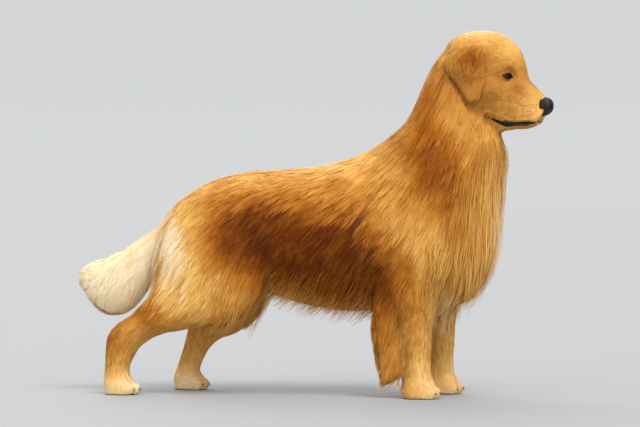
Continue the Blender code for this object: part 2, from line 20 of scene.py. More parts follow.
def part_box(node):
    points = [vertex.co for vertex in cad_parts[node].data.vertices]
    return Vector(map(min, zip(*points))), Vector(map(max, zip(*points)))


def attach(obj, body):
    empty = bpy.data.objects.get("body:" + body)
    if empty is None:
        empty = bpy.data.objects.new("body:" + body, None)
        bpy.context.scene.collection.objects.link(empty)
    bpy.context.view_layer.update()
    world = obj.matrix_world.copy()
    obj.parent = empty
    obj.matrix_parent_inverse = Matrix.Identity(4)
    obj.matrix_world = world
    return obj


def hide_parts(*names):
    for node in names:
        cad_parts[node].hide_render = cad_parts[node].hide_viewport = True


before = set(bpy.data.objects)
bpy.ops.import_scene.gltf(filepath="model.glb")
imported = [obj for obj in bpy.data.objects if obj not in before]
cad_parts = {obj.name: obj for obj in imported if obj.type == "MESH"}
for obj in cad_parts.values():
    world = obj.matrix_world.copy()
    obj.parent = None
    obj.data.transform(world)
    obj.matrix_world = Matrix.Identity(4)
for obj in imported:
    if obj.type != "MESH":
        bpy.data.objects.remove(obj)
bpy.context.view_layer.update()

bl_info = {
    "name": "Golden Retriever",
    "version": (1, 0, 0),
    "blender": (4, 5, 0),
    "location": "3D View > Sidebar > Retriever",
    "description": "Builds a golden retriever's skin, coat and features around its packed frame",
    "category": "Object",
}

MM = 0.001
CM = 0.01
ROOT = "root"
DOWN = np.array((0.0, 0.0, -1.0))

SKIN_NODES = [
    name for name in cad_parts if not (name.startswith("eye") or "claw" in name or name == "nose")
]

# ---- The coat, zone by zone ----------------------------------------------------------------------
# In millimetres: depth is from the skin out to the tips, length, width and spacing are the locks' own, wave
# is how far they swing from side to side, and stray is how far tips may pass the body's outline. sag is how
# much a lock bends down under its weight, and gather is how closely the tips of a lock draw together.
Zone = namedtuple("Zone", "depth length width spacing sag wave gather stray")
ZONES = {
    "head": Zone(1.4, 12, 1.5, 2.40, 0.05, 0.3, 0.20, 2.5),
    "lower_jaw": Zone(1.2, 9, 1.3, 2.30, 0.10, 0.2, 0.20, 1.5),
    "ear": Zone(1.4, 18, 1.6, 2.6, 0.25, 0.8, 0.26, 2.5),
    "neck": Zone(6.0, 62, 2.8, 3.8, 0.18, 2.0, 0.24, 3.0),
    "trunk": Zone(4.0, 56, 3.0, 4.5, 0.10, 0.9, 0.12, 2.5),
    "shoulder": Zone(4.5, 56, 2.8, 4.1, 0.14, 1.8, 0.20, 3.0),
    "thigh": Zone(4.5, 58, 2.8, 4.3, 0.16, 2.2, 0.24, 4.0),
    "foreleg": Zone(2.4, 19, 2.1, 3.3, 0.08, 0.4, 0.25, 1.5),
    "hind_leg": Zone(2.4, 21, 2.1, 3.3, 0.08, 0.5, 0.25, 1.5),
    "front_paw": Zone(1.3, 8, 1.4, 2.5, 0.05, 0.1, 0.20, 1.0),
    "hind_paw": Zone(1.3, 8, 1.4, 2.5, 0.05, 0.1, 0.20, 1.0),
    "tail": Zone(5.5, 85, 2.8, 3.8, 0.26, 3.0, 0.30, 6.0),
    "foreleg_feather": Zone(4.5, 62, 2.5, 3.7, 0.30, 2.0, 0.36, 6.0),
}

# The lie of the coat: a place, and the way the hair runs there. Each is mirrored to the dog's right side.
Lie = namedtuple("Lie", "at way")
BODY_LIES = [
    Lie((0.15, 0.00, 0.60), (-1.0, 0.0, -0.35)),
    Lie((0.15, 0.07, 0.56), (-1.0, 0.1, -0.60)),
    Lie((0.00, 0.00, 0.56), (-1.0, 0.0, -0.05)),
    Lie((0.00, 0.08, 0.52), (-1.0, 0.1, -0.35)),
    Lie((-0.18, 0.00, 0.55), (-1.0, 0.0, -0.10)),
    Lie((-0.18, 0.08, 0.50), (-1.0, 0.1, -0.40)),
    Lie((-0.32, 0.00, 0.48), (-0.9, 0.0, -0.50)),
    Lie((-0.32, 0.08, 0.43), (-0.8, 0.1, -0.65)),
    Lie((0.10, 0.13, 0.45), (-0.8, 0.0, -0.60)),
    Lie((-0.05, 0.12, 0.42), (-0.85, 0.0, -0.60)),
    Lie((-0.10, 0.12, 0.32), (-0.75, 0.0, -0.75)),
    Lie((0.08, 0.13, 0.30), (-0.60, 0.0, -0.85)),
    Lie((0.00, 0.04, 0.22), (-0.70, 0.1, -0.70)),
    Lie((-0.20, 0.11, 0.42), (-0.75, 0.0, -0.70)),
    Lie((-0.16, 0.12, 0.27), (-0.35, 0.0, -0.95)),
    Lie((-0.28, 0.13, 0.42), (-0.55, 0.0, -0.85)),
    Lie((-0.25, 0.14, 0.32), (-0.65, 0.0, -0.80)),
    Lie((-0.35, 0.11, 0.34), (-0.80, 0.0, -0.65)),
    Lie((-0.36, 0.05, 0.32), (-0.70, 0.0, -0.75)),
    Lie((-0.28, 0.10, 0.22), (-0.75, 0.0, -0.65)),
    Lie((0.22, 0.12, 0.50), (-0.65, 0.0, -0.80)),
    Lie((0.28, 0.13, 0.40), (-0.45, 0.0, -0.90)),
    Lie((0.22, 0.13, 0.34), (-0.70, 0.0, -0.75)),
    Lie((0.30, 0.12, 0.30), (-0.30, 0.0, -0.95)),
    Lie((0.24, 0.03, 0.78), (-0.60, 0.0, -0.80)),
    Lie((0.18, 0.04, 0.66), (-0.80, 0.1, -0.60)),
    Lie((0.30, 0.09, 0.72), (-0.45, 0.0, -0.90)),
    Lie((0.32, 0.10, 0.60), (-0.40, 0.0, -0.92)),
    Lie((0.43, 0.04, 0.62), (-0.10, 0.1, -1.00)),
    Lie((0.44, 0.06, 0.48), (-0.05, 0.2, -1.00)),
    Lie((0.43, 0.00, 0.40), (0.0, 0.0, -1.00)),
    Lie((0.38, 0.06, 0.28), (-0.30, 0.0, -0.95)),
    Lie((0.32, 0.09, 0.20), (-0.15, 0.0, -1.00)),
    Lie((0.24, 0.09, 0.20), (-0.45, 0.0, -0.90)),
    Lie((0.30, 0.09, 0.10), (-0.08, 0.0, -1.00)),
    Lie((0.19, 0.09, 0.18), (-0.25, 0.0, -0.97)),
    Lie((0.21, 0.09, 0.08), (-0.45, 0.0, -0.90)),
    Lie((0.34, 0.09, 0.035), (0.80, 0.0, -0.60)),
    Lie((0.28, 0.09, 0.02), (0.30, 0.0, -0.90)),
    Lie((-0.35, 0.10, 0.18), (-0.80, 0.0, -0.55)),
    Lie((-0.45, 0.10, 0.14), (-0.50, 0.0, -0.85)),
    Lie((-0.33, 0.10, 0.12), (-0.30, 0.0, -0.95)),
    Lie((-0.46, 0.10, 0.08), (0.0, 0.0, -1.00)),
    Lie((-0.42, 0.10, 0.03), (0.80, 0.0, -0.60)),
    Lie((-0.31, 0.10, 0.03), (0.80, 0.0, -0.60)),
    Lie((-0.42, 0.00, 0.40), (-0.9, 0.0, -0.45)),
    Lie((-0.52, 0.00, 0.35), (-0.9, 0.0, -0.45)),
    Lie((-0.41, 0.02, 0.33), (-0.60, 0.0, -0.80)),
    Lie((-0.48, 0.02, 0.29), (-0.50, 0.0, -0.87)),
    Lie((-0.56, 0.02, 0.28), (-0.90, 0.0, -0.42)),
    Lie((-0.47, 0.00, 0.22), (-0.35, 0.0, -0.94)),
]
# The same on the head, in its own frame: forwards, outwards and up from between the eyes, in centimetres.
HEAD_LIES = [
    Lie((9.5, 0.0, -4.5), (-0.70, 0.0, 0.60)),
    Lie((7.0, 0.0, -2.5), (-0.70, 0.0, 0.65)),
    Lie((4.6, 0.0, 0.5), (-0.40, 0.0, 0.90)),
    Lie((3.0, 0.0, 6.0), (-0.45, 0.0, 0.90)),
    Lie((-2.0, 0.0, 10.5), (-0.95, 0.0, 0.20)),
    Lie((-8.0, 0.0, 10.8), (-1.0, 0.0, -0.10)),
    Lie((-14.0, 0.0, 8.0), (-0.75, 0.0, -0.65)),
    Lie((-8.0, 5.0, 8.0), (-0.90, 0.3, -0.35)),
    Lie((0.5, 3.6, 3.4), (-0.75, 0.3, 0.55)),
    Lie((1.5, 3.6, -2.2), (-0.85, 0.2, -0.35)),
    Lie((-4.0, 6.0, 1.0), (-0.95, 0.1, -0.10)),
    Lie((-5.0, 6.5, -4.0), (-0.80, 0.1, -0.60)),
    Lie((0.0, 5.0, -7.0), (-0.85, 0.1, -0.50)),
    Lie((6.5, 3.4, -6.0), (-0.90, 0.2, -0.10)),
    Lie((6.0, 3.2, -10.0), (-0.75, 0.1, -0.55)),
    Lie((5.0, 1.0, -12.5), (-0.90, 0.0, -0.40)),
    Lie((-3.0, 1.0, -12.0), (-0.60, 0.0, -0.80)),
    Lie((-8.0, 8.5, 4.0), (0.10, 0.1, -1.0)),
    Lie((-8.0, 9.0, -3.0), (0.15, 0.0, -1.0)),
]

# Markings, and painted shade and light: a place, how far they reach each way, and how much paler (or, below 0,
# redder) the coat is there.
Mark = namedtuple("Mark", "at reach paler")
PLAIN_COAT = 0.52  # how pale the coat is where nothing marks it, from 0, rust, to 1, cream
BODY_MARKS_AND_PAINTED_LIGHT = [
    # The flank is a darker rust, and these three also paint the shade of its hollow and of the crease before
    # the thigh.
    Mark((0.12, 0.13, 0.34), (0.105, 0.08, 0.10), -0.70),
    Mark((0.00, 0.13, 0.37), (0.13, 0.08, 0.085), -0.62),
    Mark((-0.12, 0.12, 0.41), (0.10, 0.08, 0.065), -0.58),
    Mark((0.00, 0.10, 0.47), (0.22, 0.07, 0.05), -0.12),
    # A little darker underneath: painted shade.
    Mark((0.00, 0.00, 0.22), (0.30, 0.16, 0.04), -0.06),
    # Paler along the top of the back: a painted highlight where light falls from above.
    Mark((-0.06, 0.00, 0.57), (0.36, 0.08, 0.035), 0.20),
    # Paler on the rump and the thigh: partly their paler hair, partly a painted highlight where light falls on
    # them from above.
    Mark((-0.33, 0.08, 0.42), (0.08, 0.12, 0.12), 0.23),
    Mark((-0.27, 0.14, 0.37), (0.09, 0.08, 0.11), 0.24),
    Mark((-0.38, 0.05, 0.30), (0.05, 0.10, 0.07), 0.10),
    Mark((-0.37, 0.10, 0.22), (0.06, 0.06, 0.045), -0.38),
    Mark((-0.47, 0.10, 0.14), (0.05, 0.06, 0.04), -0.20),
    Mark((0.27, 0.13, 0.44), (0.08, 0.08, 0.10), 0.08),
    Mark((0.22, 0.14, 0.30), (0.07, 0.08, 0.08), -0.20),
    Mark((0.21, 0.09, 0.14), (0.05, 0.07, 0.10), -0.12),
    Mark((0.34, 0.10, 0.58), (0.09, 0.09, 0.11), -0.42),
    Mark((0.28, 0.08, 0.74), (0.08, 0.08, 0.07), -0.28),
    Mark((0.45, 0.00, 0.50), (0.06, 0.12, 0.15), 0.25),
    Mark((0.37, 0.10, 0.69), (0.028, 0.06, 0.05), 0.14),
    Mark((0.33, 0.09, 0.14), (0.05, 0.08, 0.12), 0.10),
    Mark((0.31, 0.09, 0.01), (0.10, 0.08, 0.08), 0.34),
    Mark((-0.32, 0.10, 0.01), (0.16, 0.08, 0.08), 0.36),
    Mark((-0.46, 0.10, 0.01), (0.10, 0.08, 0.07), 0.28),
    Mark((-0.52, 0.00, 0.32), (0.15, 0.10, 0.13), 0.64),
    Mark((-0.61, 0.00, 0.32), (0.045, 0.08, 0.05), -0.06),
]
HEAD_MARKS_AND_PAINTED_LIGHT = [
    # Paler on the forehead and the top of the skull: partly the head's own paler hair, partly a painted
    # highlight where light falls from above.
    Mark((2.0, 0.0, 7.0), (5.0, 5.0, 5.0), 0.18),
    Mark((-7.0, 0.0, 10.0), (8.0, 6.0, 4.5), 0.38),
    # Darker round the eye: painted shade in its socket under the brow.
    Mark((0.8, 4.6, 0.4), (2.6, 2.2, 1.9), -0.20),
    Mark((3.2, 3.4, -2.6), (1.8, 1.6, 1.3), -0.12),
    Mark((7.2, 2.5, -7.4), (3.6, 3.5, 3.6), 0.22),
    Mark((-1.0, 6.0, -4.0), (4.0, 3.0, 3.0), 0.02),
    Mark((-6.0, 9.0, 5.5), (3.0, 2.4, 3.0), -0.36),
    Mark((-8.5, 9.2, -1.0), (5.0, 2.4, 5.5), -0.06),
]

# Folds and swellings of the head: a place, its radius, and a push (forwards, outwards, up), all in
# centimetres in the head's frame.
Fold = namedtuple("Fold", "at radius push")
HEAD_FOLDS = [
    Fold((4.0, 0.0, 4.0), 4.5, (0.30, 0.0, 0.10)),
    Fold((5.2, 0.0, 0.2), 2.4, (-0.10, 0.0, -0.05)),
    Fold((2.6, 2.5, 2.6), 1.9, (0.20, 0.14, 0.14)),
    Fold((1.4, 4.9, -2.6), 2.0, (-0.05, -0.12, 0.0)),
    Fold((4.4, 3.9, -4.4), 2.4, (0.0, -0.22, 0.0)),
    Fold((-3.4, 6.4, -3.4), 4.2, (0.0, 0.26, 0.0)),
    Fold((6.6, 2.9, -8.9), 2.8, (0.0, 0.22, -0.05)),
    Fold((4.0, 3.6, -9.8), 2.4, (0.0, 0.22, -0.06)),
    Fold((8.6, 0.0, -11.0), 3.2, (-0.50, 0.0, 0.22)),
    Fold((-7.5, 8.0, -5.6), 3.6, (0.0, 0.0, -0.80)),
    Fold((-13.4, 8.0, 1.8), 3.2, (-0.90, 0.0, -0.40)),
]
# Creases of the face's sides, as lines of (forwards, up) with their width and depth, in centimetres.
Crease = namedtuple("Crease", "line width depth")
CREASES = [
    Crease([(-2.4, 2.6), (-0.6, 3.5), (1.2, 3.5), (2.6, 2.6)], 0.38, 0.13),
    Crease([(-1.6, -0.2), (-3.6, -0.6), (-5.6, -1.2)], 0.35, 0.09),
    Crease([(0.6, -4.2), (2.6, -4.0), (4.6, -5.0)], 0.40, 0.07),
    Crease([(0.8, -6.6), (3.0, -6.8), (4.8, -7.6)], 0.40, 0.08),
    Crease([(-6.0, -9.0), (-4.6, -7.4), (-3.8, -5.6)], 0.55, 0.12),
]

# The whiskers' roots, in four rows of four on the muzzle's sides, as (forwards, up) in centimetres.
WHISKER_ROOTS = [
    (7.3 - 0.85 * place - 0.3 * (row % 2), -6.9 - 0.72 * row - 0.10 * place)
    for row in range(4)
    for place in range(4)
]

# Where the lips meet, from the corner of the mouth towards the front, as (forwards, up) in centimetres.
MOUTH_LINE = [(-6.2, -8.7), (-3.8, -9.0), (-1.5, -10.0), (0.6, -10.9), (2.6, -11.05), (4.8, -10.95)]

# The lights: where each comes from, how strong it is, its width in degrees and its tint.
Light = namedtuple("Light", "name towards strength spread tint")
LIGHTS = [
    Light("key", (0.34, -0.40, 0.85), 1.8, 26.0, (1.0, 0.965, 0.90)),
    Light("soft", (0.16, -0.60, 0.78), 1.8, 110.0, (1.0, 0.97, 0.92)),
    Light("back", (-0.45, 0.65, 0.65), 1.7, 60.0, (1.0, 0.97, 0.93)),
]
FLOOR_SIZE = 80.0

SIDES = {1: "left", -1: "right"}
FAR = 0.05  # stands for any distance from a feature that is too large to matter
ROOT_DEPTH = 0.0006  # how far under the skin each hair starts
TURNING = 0.6  # the share of the way to the lie of the coat that a hair held to the skin turns in a step
SINKING = 1.1  # how much a hair's sag bends it at its tip
WAVE_LENGTH = 0.055  # of a lock's swing from side to side, along it
LOCK_WIDTH = 0.22  # of a lock that is gathered fully, as a share of its width at the roots
FLOOR_GAP = 0.0012  # between the lowest hairs and the floor
BLADE_RIDGE = 0.20  # how high a blade's third side is, as a share of half its width
PATCH = 0.003  # how much of the skin's map a blade covers
MOST_TRIANGLES = 190000  # of one piece of coat

state = {}  # what one operator makes and a later one needs


# ---- Settings ------------------------------------------------------------------------------------
def colour(name, description, default):
    limits = {"subtype": "COLOR", "size": 3, "min": 0.0, "max": 1.0}
    return FloatVectorProperty(name=name, description=description, default=default, **limits)


def number(name, description, default, **limits):
    return FloatProperty(name=name, description=description, default=default, **limits)


def length(name, description, default):
    return FloatProperty(name=name, description=description, unit="LENGTH", default=default)


class RetrieverCoatSettings(bpy.types.PropertyGroup):
    """The coat's colours and how full it is"""

    rust: colour("Rust", "The reddest hair", (0.125, 0.024, 0.001))
    deep_gold: colour("Deep gold", "Hair of the flanks and the ears", (0.380, 0.115, 0.008))
    gold: colour("Gold", "Hair of most of the body", (0.590, 0.262, 0.046))
    pale_gold: colour("Pale gold", "Hair that is lighter", (0.860, 0.510, 0.140))
    cream: colour("Cream", "Hair of the tail and the paws", (0.970, 0.820, 0.550))
    fullness: number("Fullness", "Locks grown, as a share of the full coat", 1.0, min=0.05, max=1.2)
    waviness: number("Waviness", "How much the long locks swing from side to side", 1.0, min=0.0)
    seed: IntProperty(name="Seed", description="Changes which way each lock strays", default=7)


class RetrieverSkinSettings(bpy.types.PropertyGroup):
    """The skin under the coat"""

    grain: length("Grain", "The size of the skin's faces", 0.0042)
    kept: number("Kept", "The share of the faces kept away from head and paws", 0.36)
    skin_tint: colour("Skin", "Skin where the hair parts", (0.20, 0.095, 0.035))


class RetrieverFaceSettings(bpy.types.PropertyGroup):
    """The eyes, nose and lips"""

    eye_width: length("Eye opening width", "Between the corners of the lids", 0.028)
    upper_lid: length("Upper lid", "How far the upper lid arches over the corners", 0.0076)
    lower_lid: length("Lower lid", "How far the lower lid hangs below the corners", 0.0066)
    rim: length("Lid rim", "Thickness of the dark rim of the lids", 0.0008)
    lip_band: length("Lip band", "How far the black skin reaches below the mouth", 0.0150)
    iris: colour("Iris", "The iris", (0.060, 0.020, 0.006))
    leather: colour("Nose leather", "The bare nose", (0.009, 0.0065, 0.0065))
    lip_black: colour("Lips and rims", "The dark skin of the lips and the lids", (0.008, 0.006, 0.005))
    claw: colour("Claws", "The horn of the claws", (0.055, 0.040, 0.030))


class RetrieverStageSettings(bpy.types.PropertyGroup):
    """The floor, the lights and the camera"""

    distance: length("Camera distance", "From the dog to the camera", 7.0)
    height: length("Camera height", "Of the camera above the floor", 0.53)
    aim_height: length("Aim height", "Of the point that the camera looks at", 0.44)
    aim_ahead: length("Aim", "How far in front of the middle the camera looks", 0.0205)
    azimuth: number("Azimuth", "Turn of the camera round the dog", math.radians(12.0), subtype="ANGLE")
    lens: number("Lens", "Focal length in millimetres", 162.0)
    floor: colour("Floor", "The studio floor", (0.346, 0.359, 0.378))
    zenith: number("Zenith", "Brightness of the light from above", 0.52)
    horizon: number("Horizon", "Brightness of the light from all round", 0.70)


# ---- Mesh tools ----------------------------------------------------------------------------------
def select_only(obj):
    bpy.ops.object.select_all(action="DESELECT")
    obj.select_set(True)
    bpy.context.view_layer.objects.active = obj


def apply_modifiers(obj):
    select_only(obj)
    for modifier in list(obj.modifiers):
        bpy.ops.object.modifier_apply(modifier=modifier.name)


def link(name, data):
    obj = bpy.data.objects.new(name, data)
    bpy.context.scene.collection.objects.link(obj)
    return obj


def rows_of(items, field, width, kind=np.float32):
    """One field of a mesh's vertices, edges, faces or corners, with a row for each."""
    flat = np.empty(len(items) * width, kind)
    items.foreach_get(field, flat)
    return flat.reshape(-1, width)


def points_of(mesh):
    return rows_of(mesh.vertices, "co", 3).astype(float)


def move_points(mesh, points):
    mesh.vertices.foreach_set("co", points.astype(np.float32).ravel())
    mesh.update()


def normals_of(mesh):
    return rows_of(mesh.vertex_normals, "vector", 3).astype(float)


def unit(vectors):
    return vectors / np.maximum(np.linalg.norm(vectors, axis=-1, keepdims=True), 1e-9)


def edges_of(mesh):
    return rows_of(mesh.edges, "vertices", 2, np.int32)


def evened(values, edges, rounds):
    """values, one row for each vertex, averaged with their neighbours' again and again."""
    values = np.array(values, float).reshape(len(values), -1)
    count = len(values)
    ends = np.concatenate([edges[:, 0], edges[:, 1]])
    others = np.concatenate([edges[:, 1], edges[:, 0]])
    degree = np.maximum(np.bincount(ends, minlength=count), 1)[:, None]
    for _ in range(rounds):
        total = np.stack([np.bincount(ends, column[others], count) for column in values.T], axis=1)
        values = 0.5 * values + 0.5 * total / degree
    return values.squeeze()


def hump(value, middle, width):
    """1 where value is at the middle, easing to 0 within about two widths of it."""
    return np.exp(-(((value - middle) / width) ** 2))


def climb(value, start, width, least=0):
    """From least to 1 in a straight line that would be 0 at start, and that is 1 at start + width."""
    return np.clip((value - start) / width, least, 1)


def eased(value, low, high):
    """From 0 at low to 1 at high, slow at both ends."""
    share = climb(value, low, high - low)
    return share * share * (3 - 2 * share)


SHRINK = 1.0
SWELL = 1.06


def smoothed(points, edges, rounds):
    """points, evened out without drawing the shape in: each round shrinks it and swells it again."""
    for _ in range(rounds):
        points = points + SHRINK * (evened(points, edges, rounds=1) - points)
        points = points - SWELL * (evened(points, edges, rounds=1) - points)
    return points


def store(mesh, name, values):
    """Keeps one number for each vertex, for a material to read."""
    mesh.attributes.new(name, "FLOAT", "POINT").data.foreach_set("value", np.asarray(values, np.float32))


def dress(piece, material):
    """Gives a piece one material in place of what it has."""
    piece.data.materials.clear()
    piece.data.materials.append(material)


def keep_largest_body(obj):
    """Removes every loose piece but the largest."""
    mesh = obj.data
    edges = edges_of(mesh)
    label = np.arange(len(mesh.vertices))
    while True:
        lowest = label.copy()
        np.minimum.at(lowest, edges[:, 0], label[edges[:, 1]])
        np.minimum.at(lowest, edges[:, 1], label[edges[:, 0]])
        lowest = lowest[lowest]
        if np.array_equal(lowest, label):
            break
        label = lowest
    keep = np.argmax(np.bincount(label))
    bm = bmesh.new()
    bm.from_mesh(mesh)
    bmesh.ops.delete(bm, geom=[vert for vert in bm.verts if label[vert.index] != keep], context="VERTS")
    bm.to_mesh(mesh)
    bm.free()


def refine(skin, chosen):
    """Divides the faces whose vertices are all chosen, so that finer shapes can be made there."""
    bm = bmesh.new()
    bm.from_mesh(skin.data)
    faces = [face for face in bm.faces if all(chosen[vert.index] for vert in face.verts)]
    edges = list({edge for face in faces for edge in face.edges})
    bmesh.ops.subdivide_edges(bm, edges=edges, cuts=1, smooth=0.0, use_grid_fill=True)
    bm.to_mesh(skin.data)
    bm.free()


def ripple(points, wavelength, seed):
    """A smooth wandering value, from about -1 to 1, at each point."""
    rng = np.random.default_rng(seed)
    ways = unit(rng.normal(size=(6, 3))) * (2 * math.pi / wavelength) * rng.uniform(0.6, 1.5, (6, 1))
    return np.sin(points @ ways.T + rng.uniform(0, 2 * math.pi, 6)).sum(axis=1) / 3.0


def tree_of(mesh, points=None):
    """A search tree of a mesh's surface, with its points moved if others are given."""
    places = [Vector(point) for point in (points_of(mesh) if points is None else points)]
    return BVHTree.FromPolygons(places, [list(face.vertices) for face in mesh.polygons])


def depth_inside(tree, point):
    """How far a point lies inside the tree's surface."""
    place, normal, _, _ = tree.find_nearest(point)
    return (place - Vector(point)).dot(normal)


def points_tree(points, chosen=None):
    """A search tree of the points, or of those chosen by their numbers."""
    chosen = range(len(points)) if chosen is None else chosen
    tree = KDTree(len(chosen))
    for index in chosen:
        tree.insert(points[index], index)
    tree.balance()
    return tree


def nearest_in(tree, places):
    """The number of the tree's point that is nearest to each place."""
    find = tree.find
    return np.array([find(place)[1] for place in places], int)


# ---- Places on the dog ---------------------------------------------------------------------------
def box_of(node):
    return [np.array(corner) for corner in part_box(node)]


def centre_of(node):
    low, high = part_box(node)
    return (Vector(low) + Vector(high)) / 2


def head_frame():
    """The head's own frame: X forwards, Y to its left, Z up, with its origin between the eyes."""
    left, right = centre_of("eye_left"), centre_of("eye_right")
    across = (left - right).normalized()
    ahead = across.cross(Vector((0, 0, 1))).normalized()
    matrix = Matrix((ahead, across, ahead.cross(across))).transposed().to_4x4()
    return Matrix.Translation((left + right) / 2) @ matrix


HEAD = head_frame()
HEAD_TURN = np.array(HEAD.to_3x3())
HEAD_ORIGIN = np.array(HEAD.translation)


def in_head_frame(points):
    return (points - HEAD_ORIGIN) @ HEAD_TURN


def from_head_frame(points):
    return np.asarray(points, float) @ HEAD_TURN.T + HEAD_ORIGIN


def on_both_sides(entries):
    """Each entry, and its mirror image after it if it is off the midline."""
    flip = np.array((1, -1, 1))
    rows = []
    for entry in entries:
        rows.append(entry)
        if entry.at[1]:
            name = entry._fields[-1]
            second = entry[-1] if isinstance(entry, Mark) else np.array(entry[-1]) * flip
            rows.append(entry._replace(at=tuple(np.array(entry.at) * flip), **{name: second}))
    return rows


def lie_of_coat(points, normals, edges):
    """The way the hair runs at each vertex of the skin, along the surface."""
    lies = [(lie.at, lie.way) for lie in on_both_sides(BODY_LIES)]
    for lie in on_both_sides(HEAD_LIES):
        lies.append((from_head_frame(np.array(lie.at) * CM), HEAD_TURN @ np.array(lie.way)))
    flow = np.zeros_like(points)
    for place, way in lies:
        near = 1 / (np.sum((points - np.array(place)) ** 2, axis=1) + 4e-4) ** 2
        flow += near[:, None] * unit(np.array(way, float))
    flow = unit(flow)
    for _ in range(3):
        flow -= normals * np.sum(flow * normals, axis=1, keepdims=True)
        flow = unit(evened(unit(flow), edges, rounds=4))
    return flow


def add_marks(value, points, marks):
    """Makes value paler or redder by each of the marks."""
    for mark in on_both_sides(marks):
        away = (points - np.array(mark.at)) / np.array(mark.reach)
        value += mark.paler * np.exp(-np.sum(away**2, axis=1))


def paleness(points):
    """How pale the coat is at each point, from 0, rust, to 1, cream, by its markings and by painted shade and
    light.
    """
    value = np.full(len(points), PLAIN_COAT)
    add_marks(value, points, BODY_MARKS_AND_PAINTED_LIGHT)
    local = in_head_frame(points) / CM
    add_marks(value, local, HEAD_MARKS_AND_PAINTED_LIGHT)
    near = np.flatnonzero((local[:, 0] > 2.0) & (np.abs(local[:, 1]) > 1.0) & (local[:, 2] < -5.0))
    for root in WHISKER_ROOTS:
        away = np.linalg.norm(local[near][:, [0, 2]] - root, axis=1)
        value[near] -= 0.34 * hump(away, 0, 0.17)
    wide, fine = ripple(points, wavelength=0.11, seed=3), ripple(points, wavelength=0.05, seed=9)
    return np.clip(value + 0.04 * wide + 0.03 * fine, 0.0, 1.0)


# ---- Materials -----------------------------------------------------------------------------------
def new_material(name, roughness=0.5, specular=0.5):
    """A material and its Principled shader."""
    made = bpy.data.materials.new(name)
    made.use_nodes = True
    shader = made.node_tree.nodes["Principled BSDF"]
    shader.inputs["Roughness"].default_value = roughness
    shader.inputs["Specular IOR Level"].default_value = specular
    return made, shader


def add_node(material, kind, inputs=None, **settings):
    """A node with its settings made, and with each input linked, or given its value."""
    node = material.node_tree.nodes.new(kind)
    for name, value in settings.items():
        setattr(node, name, value)
    for name, value in (inputs or {}).items():
        if isinstance(value, bpy.types.NodeSocket):
            material.node_tree.links.new(value, node.inputs[name])
        else:
            node.inputs[name].default_value = value
    return node


def attribute(material, name):
    return add_node(material, "ShaderNodeAttribute", attribute_name=name).outputs["Fac"]


def own_place(material):
    return add_node(material, "ShaderNodeTexCoord").outputs["Object"]


def maths(material, operation, first, second):
    return add_node(material, "ShaderNodeMath", {0: first, 1: second}, operation=operation).outputs[0]


def noise(material, place, scale, detail):
    inputs = {"Vector": place, "Scale": scale, "Detail": detail}
    return add_node(material, "ShaderNodeTexNoise", inputs).outputs["Fac"]


def stretched(material, place, scale):
    return add_node(material, "ShaderNodeMapping", {"Vector": place, "Scale": scale}).outputs["Vector"]


def ranged(material, value, low, high):
    """value, from 0 to 1, as a number from low to high."""
    inputs = {"Value": value, "To Min": low, "To Max": high}
    return add_node(material, "ShaderNodeMapRange", inputs).outputs["Result"]


def mixed(material, factor, first, second):
    """The first colour, and the second in its place by the factor."""
    inputs = {"Factor": factor, "A": first, "B": second}
    return add_node(material, "ShaderNodeMix", inputs, data_type="RGBA").outputs["Result"]


def dimmed(material, tint, scale):
    inputs = {0: tint, "Scale": scale}
    return add_node(material, "ShaderNodeVectorMath", inputs, operation="SCALE").outputs["Vector"]


def times(tint, factor):
    """The tint, lighter or darker by the factor, as a socket takes it."""
    return (*[part * factor for part in tint], 1.0)


def feed(material, shader, name, socket):
    material.node_tree.links.new(socket, shader.inputs[name])


def roughen(material, shader, height, strength, distance):
    """Raises the surface by the height's pattern."""
    inputs = {"Height": height, "Strength": strength, "Distance": distance}
    feed(material, shader, "Normal", add_node(material, "ShaderNodeBump", inputs).outputs["Normal"])


def colour_ramp(material, value, stops):
    """The colour that the stops, pairs of a position and a tint, give for the value."""
    ramp = add_node(material, "ShaderNodeValToRGB", {"Fac": value})
    elements = ramp.color_ramp.elements
    while len(elements) < len(stops):
        elements.new(0.5)
    for element, (position, tint) in zip(elements, stops):
        element.position = position
        element.color = (*tint, 1.0)
    return ramp.outputs["Color"]


def coat_colour(material, value):
    """The coat's colours, from rust to cream."""
    coat = bpy.context.scene.retriever_coat
    tints = (coat.rust, coat.deep_gold, coat.gold, coat.pale_gold, coat.cream)
    return colour_ramp(material, value, tuple(zip((0.0, 0.28, 0.52, 0.76, 1.0), tints)))


def hair_material():
    """Long hair, darker at the roots and paler at the tips as painted shade and light of the coat's depth, each
    lock a little unlike the next.
    """
    name = "golden_hair"
    if name in bpy.data.materials:
        return bpy.data.materials[name]
    made, shader = new_material(name, roughness=0.55, specular=0.08)
    # Paler towards the tips and darker towards the roots: painted light and shade of the coat's depth.
    along = maths(made, "MULTIPLY", attribute(made, "along"), 0.12)
    own = maths(made, "MULTIPLY", attribute(made, "shade"), 0.26)
    value = maths(made, "ADD", attribute(made, "paleness"), maths(made, "ADD", along, own))
    strand = add_node(made, "ShaderNodeUVMap", uv_map="Strand").outputs["UV"]
    streaks = noise(made, stretched(made, strand, (5.0, 0.35, 1.0)), scale=2.2, detail=2.0)
    value = maths(made, "ADD", value, maths(made, "MULTIPLY", streaks, 0.12))
    feed(made, shader, "Base Color", coat_colour(made, maths(made, "SUBTRACT", value, 0.25)))
    roughen(made, shader, streaks, strength=0.25, distance=0.0005)
    shader.inputs["Sheen Weight"].default_value = 0.02
    shader.inputs["Sheen Roughness"].default_value = 0.4
    shader.inputs["Sheen Tint"].default_value = (1.0, 0.80, 0.50, 1.0)
    return made


